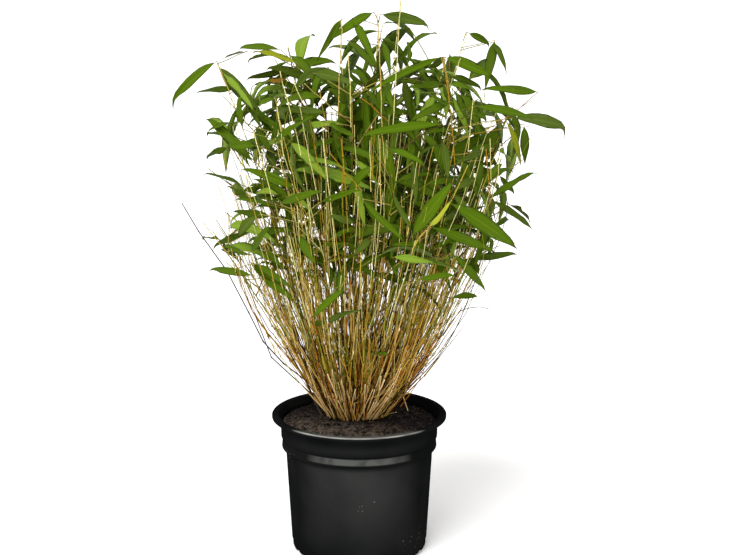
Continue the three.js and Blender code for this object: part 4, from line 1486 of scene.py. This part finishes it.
def growSeenStems():
    for tint, radii, points in strays:
        stems.append(plainStem(throughPoints([vector(point) for point in points]), radii, tint))
    for tint, radius, places in seenStems:
        points = [seenPlace(*place, seenStemShare) for place in places]
        stems.append(plainStem(throughPoints(points), (radius * 0.85, radius * 0.6), tint))
    draw = seededDraw(fineCanes["seed"])
    for _ in range(fineCanes["count"]):
        across, down, length = (draw(*fineCanes[size]) for size in ("across", "down", "length"))
        foot = across - (across - fineCanes["middle"]) * fineCanes["lean"] * length / 100 + draw(-4, 4)
        share, radius = draw(*fineCanes["share"]), draw(*fineCanes["radius"])
        middle = ((across + foot) / 2 + draw(-2, 2), down + length / 2)
        points = [seenPlace(*place, share) for place in ((foot, down + length), middle, (across, down))]
        tint = dealFrom(fineCanes["tints"], draw)
        stems.append(plainStem(throughPoints(points), (radius, radius * 0.7), tint))
    print("stems placed as seen:", len(stems), "stems in all")


def growFinerSprays(culms, canes):
    draw = seededDraw(finerGrowth["seed"])
    carriers = [(culm["curve"], culm["massName"], finerGrowth["onCulm"], culm["leafFrom"], 1)
                for culm in culms]
    carriers += [(culm["companion"], culm["name"], finerGrowth["onCompanion"], 0.6, 1)
                 for culm in culms if culm["companion"]]
    carriers += [(stem["curve"], stem["owner"], finerGrowth["onCane"], finerGrowth["from"], stem["last"])
                 for stem in canes if stem["kind"] == "leafy"]
    for curve, owner, sprays, low, high in carriers:
        turn = draw(0, 2 * math.pi)
        for index in range(sprays):
            share = lerp(low, 0.97, (index + draw(0, 0.8)) / sprays) * high
            azimuth = turn + index * math.radians(goldenAngle)
            if isFilled(curve(share), draw):
                growSpray(owner, curve, share, azimuth, draw, finerSpray)
    print("finer sprays grown:", len(twigs), "twigs and", len(leaves), "leaves in all")


# Culm, twig and sheath skins

joint = {
    "cane": {"internode": (52, 92), "kink": 1.5, "sides": 5},
    "culm": {"internode": (46, 78), "kink": 0.9, "sides": 6},
    "twig": {"internode": (15, 27), "kink": 0.6, "sides": 5},
    "dry": {"internode": (50, 70), "kink": 0.2, "sides": 6},
    "rings": ((0, 1.2), (0.05, 1.0), (0.5, 0.96), (0.94, 1.0)),  # along an internode, and its girth there
    "sheathNodes": 4,
    "sheathChance": 0.2,
    "sheathRoom": 0.35,
}


# A jointed stem: straight internodes, a slight bend and a swollen ring at every node. It changes tint with
# height.
def jointStem(batches, stem, draw):
    plan = joint[stem["kind"]]
    curve, high = stem["curve"], stem["high"]
    count = max(1, round(lengthOf(curve) * high / draw(*plan["internode"])))
    across = unit(np.cross(heading(curve, high / 2), directionOf(draw(0, 2 * math.pi), 0)))
    joints = []
    for index in range(count + 1):
        turn = 0 if index in (0, count) else (1 if index % 2 else -1)
        joints.append(curve(high * (index / count)) + across * plan["kink"] * turn)
    first = 0
    for index in range(1, count + 1):
        tint = tintAt(stem, joints[index - 1])
        if index < count and tintAt(stem, joints[index]) == tint:
            continue
        points, sizes, lows, highs = [], [], [], []
        for node in range(first, index):
            for part, girth in joint["rings"]:
                points.append(lerp(joints[node], joints[node + 1], part))
                sizes.append(lerp(*stem["radii"], (node + part) / count) * girth)
                lows.append(part)
            highs += [part for part, _ in joint["rings"][1:]] + [1]
        points.append(joints[index])
        sizes.append(lerp(*stem["radii"], index / count))
        levelFoot = first == 0 and stem["kind"] != "twig"
        addSkin(batches[tint], ringsAlong(points, sizes, plan["sides"], levelFoot), lows, highs)
        first = index
    return joints


def tintAt(stem, place):
    return stem["tints"][int(np.searchsorted(stemTints["tops"], place[2]))]


sheathSides = 6


# A dry sheath wraps the foot of an internode and ends in a slanting tear
def addSheath(batch, start, end, radius, draw):
    span = draw(0.2, 0.6)
    along = unit(end - start)
    points = [lerp(start, end, share * span) for share in (0, 0.15, 0.6, 0.9, 1)]
    room = joint["sheathRoom"]
    sizes = [radius * 1.25 + room * 0.4, radius + room, radius + room * 0.8, radius + room * 0.5,
             radius * 0.6]
    rings = ringsAlong(points, sizes, sheathSides)
    tear = draw(0, 2 * math.pi)
    for side in range(sheathSides):
        slant = math.cos(2 * math.pi * side / sheathSides + tear) * draw(2, 6)
        rings[3, side] += along * slant * 0.5
        rings[4, side] += along * slant
    addSkin(batch, rings)


def standCulmStems(culms):
    draw = seededDraw(clump["clumpSeed"] + 400)
    for culm in culms:
        depth = math.hypot(*culm["tip"][:2]) / clump["fanRadius"]
        radii = (clump["culmRadius"] * 0.68, clump["tipRadius"] * 0.7)
        addStem(culm["curve"], 1, radii, depth, draw, "culm", culm["name"])
        if culm["companion"]:
            radii = (companions["radius"] * 0.6, clump["tipRadius"] * 0.7)
            addStem(culm["companion"], 1, radii, depth, draw)
    for name, stem in dryStems.items():
        radii = (stem["radius"] * 0.8, clump["tipRadius"])
        stems.append(plainStem(stem["curve"], radii, "grey", "dry", name))


def buildStems():
    batches = {tint: newBatch() for tint in caneColours}
    nodes = {tint: [] for tint in caneColours}
    sheaths = {"pale": newBatch(), "rusty": newBatch()}
    draw = seededDraw(clump["clumpSeed"] + 500)
    for stem in stems:
        joints = jointStem(batches, stem, draw)
        if stem["node"]:
            nodes[stem["tints"][0]].append(stem["node"])
        if stem["kind"] in ("culm", "cane"):
            for index in range(min(joint["sheathNodes"], len(joints) - 1)):
                if draw() < joint["sheathChance"]:
                    kind = "rusty" if draw() < 0.3 else "pale"
                    radius = stem["radii"][0] * (1 - 0.04 * index)
                    addSheath(sheaths[kind], joints[index], joints[index + 1], radius, draw)
    for tint, batch in batches.items():
        skin = caneSkin(f"bamboo_cane_{tint}", caneColours[tint])
        makePiece(f"culms_{tint}", batch, skin, nodes[tint])
    for kind, batch in sheaths.items():
        skin = caneSkin(f"papery_sheath_{kind}", sheathColours[kind], fibreSize=0.1, roughness=0.75)
        makePiece(f"sheaths_{kind}", batch, skin)
    print("stems jointed:", len(stems))


# Bamboo cane skin, as grown: smooth and waxy with fine lengthwise fibres, a dark scar at each node and a
# pale bloom of wax just under it. Its map runs from node to node, so every internode shows the same marks.
# Each tint is the colour of the skin, its fibres, its scars and its bloom.
caneColours = {
    "husk": ("#f0d092", "#c99c5a", "#5a3c1e", "#f2e0b0"),
    "amber": ("#c8923a", "#976a20", "#4a3313", "#c4a362"),
    "straw": ("#bb9e44", "#8d7222", "#4b3511", "#b9a354"),
    "gold": ("#9e7b18", "#77590e", "#3c2a0a", "#a3883a"),
    "olive": ("#7b7714", "#58560b", "#2e2a08", "#84803a"),
    "green": ("#788824", "#596914", "#35370d", "#88924a"),
    "rust": ("#a4621c", "#744410", "#331c09", "#9a7236"),
    "tan": ("#bea35a", "#967a38", "#594422", "#c6b37c"),
    "pale": ("#d0c680", "#ada262", "#6a612e", "#dad49a"),
    "umber": ("#3a2a0b", "#271b07", "#1e1506", "#5e4a22"),
    "grey": ("#4c4643", "#35302e", "#211c1a", "#67605d"),
}


def caneSkin(name, colours, fibreSize=0.18, roughness=0.5):
    skin, fibre, scar, bloom = colours
    material, tree, shader = newMaterial(name, Roughness=roughness, Specular_IOR_Level=0.02)
    spot = addNode(tree, "ShaderNodeUVMap", {"uv_map": "OFBake"}).outputs["UV"]
    along = addNode(tree, "ShaderNodeSeparateXYZ", links={"Vector": spot}).outputs["Y"]
    stretched = addNode(tree, "ShaderNodeMapping", {"Scale": (1 / fibreSize, 1.4, 1.0)}, {"Vector": spot})
    strands = addNode(tree, "ShaderNodeTexNoise", {"Scale": 3.0, "Detail": 3.0, "Roughness": 0.65},
                      {"Vector": stretched.outputs["Vector"]})
    fibres = strands.outputs["Fac"]
    layers = (
        (fibre, (fibres, 0.4, 0.68, 1)),
        (bloom, (along, 0.8, 0.95, 0.75)),
        (scar, (along, 0.05, 0.02, 1)),
        (scar, (along, 0.965, 0.985, 1)),
    )
    for colour, ramp in layers:
        skin = layOver(tree, skin, colour, ramp)
    finish(tree, shader, skin, fibres, 0.3, 0.2)
    return material


# Dry culm sheath, papery: straw to rust, ribbed along its length, dull
sheathColours = {
    "pale": ("#b4954e", "#8b6b2c", "#5f4722", "#ccb67c"),
    "rusty": ("#985c1c", "#703f10", "#45260e", "#b08548"),
}
twigColours = {
    "green": ("#707222", "#515412", "#35300d", "#8f8f48"),
    "straw": ("#a2934a", "#7d6c2a", "#4a3a15", "#b8ab70"),
    "brown": ("#5e4421", "#412d14", "#24180a", "#7b613c"),
}


twigShares = {"green": 0.5, "straw": 0.34, "brown": 0.16}
petiole = {"length": 4.5, "radii": (0.62, 0.5, 0.42)}


def buildTwigs(culms):
    draw = seededDraw(clump["leafSeed"] + 900)
    batches = {tint: newBatch() for tint in twigColours}
    for grown in twigs:
        tint = dealFrom(twigShares, draw)
        start, end = grown["start"], grown["end"]
        level = math.hypot(*(end - start)[:2]) > 1
        sag = np.linalg.norm(end - start) * draw(-0.02, 0.07)
        curve = culmCurve(start, end, sag) if level else throughPoints([start, end])
        jointStem(batches, plainStem(curve, grown["radii"], tint), draw)
    for blade in leaves:
        rootward = unit(unit(blade["tip"] - blade["root"]) + blade["lift"] * 2.2 * blade["arch"] / 40)
        blade["bladeRoot"] = blade["root"] + rootward * petiole["length"]
        tint = "green" if draw() < 0.7 else "brown"
        middle = lerp(blade["root"], blade["bladeRoot"], 0.5)
        points = [blade["root"], middle, blade["bladeRoot"] + rootward * 1.5]
        addSkin(batches[tint], ringsAlong(points, petiole["radii"], 5))
    masses = [culm["massName"] for culm in culms]
    for tint, batch in batches.items():
        skin = caneSkin(f"bamboo_twig_{tint}", twigColours[tint])
        makePiece(f"twigs_{tint}", batch, skin, masses)
    print("twigs and leaf stalks joined")


# Leaves

blade = {
    # along the leaf, and its half width there as a share of the widest
    "outline": [(0, 0.09), (0.05, 0.33), (0.13, 0.65), (0.24, 0.91), (0.36, 1.0), (0.5, 0.96),
                (0.64, 0.79), (0.77, 0.54), (0.87, 0.3), (0.94, 0.13), (1, 0.015)],
    "thickness": 0.5,
    "fold": (0.2, 0.85),
    "twist": (-1.3, 1.3),
    "wave": (0.4, 2.2),
    "hook": (2, 9),
    "hookFrom": 0.78,
    "seed": 77003,
}
ringPlaces = np.array([1, 0.5, 0, -0.5, -1, -0.5, 0, 0.5])
ringLifts = np.array([0, 0.8, 1, 0.8, 0, -0.8, -1, -0.8])


# A blade is a thin closed skin: folded along its midrib, arched, a little twisted and waved, hooked at its
# tip
def bladeRings(grown, draw):
    stations, widths = np.array(blade["outline"]).T
    root, tip = grown["bladeRoot"], grown["tip"]
    peak = leaf["widestAt"]
    climb, fall = math.pi / 2 * stations / peak, math.pi / 2 * (stations - peak) / (1 - peak)
    rise = np.where(stations < peak, np.sin(climb), np.cos(fall))
    spine = root + np.outer(stations, tip - root) + np.outer(rise * grown["arch"], grown["lift"])
    past = np.clip((stations - blade["hookFrom"]) / (1 - blade["hookFrom"]), 0, 1) ** 2
    forward = unit(tip - root)
    hook = grown["droop"] or draw(*blade["hook"])
    spine = spine + np.outer(past * hook, vector((0, 0, -1)) * 0.8 - forward * 0.45)
    tangents = np.gradient(spine, axis=0)
    tangents /= np.linalg.norm(tangents, axis=1)[:, None]
    twist = draw(*blade["twist"]) * (stations - peak)
    sides = np.array([turnAbout(grown["side"], axis, angle) for axis, angle in zip(tangents, twist)])
    sides -= tangents * (sides * tangents).sum(axis=1)[:, None]
    sides /= np.linalg.norm(sides, axis=1)[:, None]
    normals = np.cross(tangents, sides)
    fold = draw(*blade["fold"])
    wave, phase, waves = draw(*blade["wave"]), draw(0, 2 * math.pi), draw(1.2, 2.4)
    half = grown["width"] / 2 * widths
    ripple = wave * np.sin(2 * math.pi * waves * stations + phase) * widths
    thick = blade["thickness"] / 2 * np.clip(widths * 2.5, 0.12, 1)
    outward = np.outer(half, ringPlaces * math.cos(fold))
    upward = np.outer(half, np.abs(ringPlaces) * math.sin(fold))
    upward = upward + np.outer(ripple, ringPlaces * np.abs(ringPlaces)) + np.outer(thick, ringLifts)
    return spine[:, None] + sides[:, None] * outward[..., None] + normals[:, None] * upward[..., None]


# Bamboo leaf, fresh: a satin upper side with fine parallel veins and a paler midrib, a duller bluish
# underside, and a dry dark tip. In its map u is under a half on the upper side, and v runs to the tip.
# Each tint is the colour of the upper side, the underside, the veins and the tip.
leafColours = {
    "deep": ("#3d500a", "#45561e", "#485c10", "#1a1506"),
    "mid": ("#445a0a", "#4c601f", "#526812", "#221c08"),
    "fresh": ("#445c06", "#536a1f", "#5a7216", "#3a340e"),
    "light": ("#6c8624", "#778b40", "#869a40", "#3a340e"),
    "dusky": ("#435314", "#566733", "#5c6d33", "#2b2512"),
    "shaded": ("#374509", "#3d4918", "#3e4b10", "#141006"),
    "yellow": ("#757c14", "#7d8034", "#8f9030", "#4b3412"),
    "lemon": ("#a2aa2c", "#a4a84c", "#b4b850", "#7b7a20"),
    "dry": ("#7a5a1c", "#80652e", "#8f7238", "#3a2810"),
}


def leafBlade(name, colours):
    skin, under, rib, tip = colours
    veins = 11  # the real blade has about 20 a side, drawn half as many
    material, tree, shader = newMaterial(name, Roughness=0.42, Specular_IOR_Level=0.03)
    spot = addNode(tree, "ShaderNodeUVMap", {"uv_map": "OFBake"}).outputs["UV"]
    place = addNode(tree, "ShaderNodeSeparateXYZ", links={"Vector": spot})
    turned = addNode(tree, "ShaderNodeMath", {"operation": "MULTIPLY", 1: 4.0}, {0: place.outputs["X"]})
    half = addNode(tree, "ShaderNodeMath", {"operation": "PINGPONG", 1: 1.0}, {0: turned.outputs["Value"]})
    fromEdge = half.outputs["Value"]  # 0 at the edges, 1 at the midrib, on both sides
    turns = addNode(tree, "ShaderNodeMath", {"operation": "MULTIPLY", 1: veins * 2 * math.pi}, {0: fromEdge})
    ribbing = addNode(tree, "ShaderNodeMath", {"operation": "COSINE"}, {0: turns.outputs["Value"]})
    waves = ribbing.outputs["Value"]
    beyond = addNode(tree, "ShaderNodeMath", {"operation": "GREATER_THAN", 1: 0.5}, {0: place.outputs["X"]})
    isUnder = beyond.outputs["Value"]
    layers = (
        (under, (isUnder, 0, 1, 1)),
        (rib, (waves, 0.2, 1, 0.28)),
        (rib, (fromEdge, 0.88, 0.97, 0.55)),
        (tip, (place.outputs["Y"], 0.86, 0.97, 1)),
    )
    for colour, ramp in layers:
        skin = layOver(tree, skin, colour, ramp)
    shine = addNode(tree, "ShaderNodeMapRange", {"To Min": 0.4, "To Max": 0.62}, {"Value": isUnder})
    tree.links.new(shine.outputs["Result"], shader.inputs["Roughness"])
    finish(tree, shader, skin, waves, 0.25, 0.2)
    return material


def buildLeaves(culms):
    draw = seededDraw(blade["seed"])
    batches = {tint: newBatch() for tint in leafColours}
    stations = [station for station, _ in blade["outline"]]
    for grown in leaves:
        addSkin(batches[grown["tint"]], bladeRings(grown, draw), stations[:-1], stations[1:])
    masses = [culm["massName"] for culm in culms]
    for tint, batch in batches.items():
        if batch["points"]:
            skin = leafBlade(f"bamboo_leaf_{tint}", leafColours[tint])
            makePiece(f"leaves_{tint}", batch, skin, masses)
    print("leaves joined:", len(leaves))
    counts = {piece.name: sum(len(face.vertices) - 2 for face in piece.data.polygons)
              for piece in bpy.data.objects if piece.type == "MESH"}
    print("triangles in all:", sum(counts.values()), "and in the largest piece:", max(counts.values()))


def buildClump():
    culms = standClump()
    standCulmStems(culms)
    growSeenLeaves(culms)
    canes = growThicket()
    growOffshoots(culms, canes)
    growSeenStems()
    growSprays(culms)
    growFinerSprays(culms, canes)
    buildStems()
    buildTwigs(culms)
    buildLeaves(culms)


buildCompost()
buildClump()
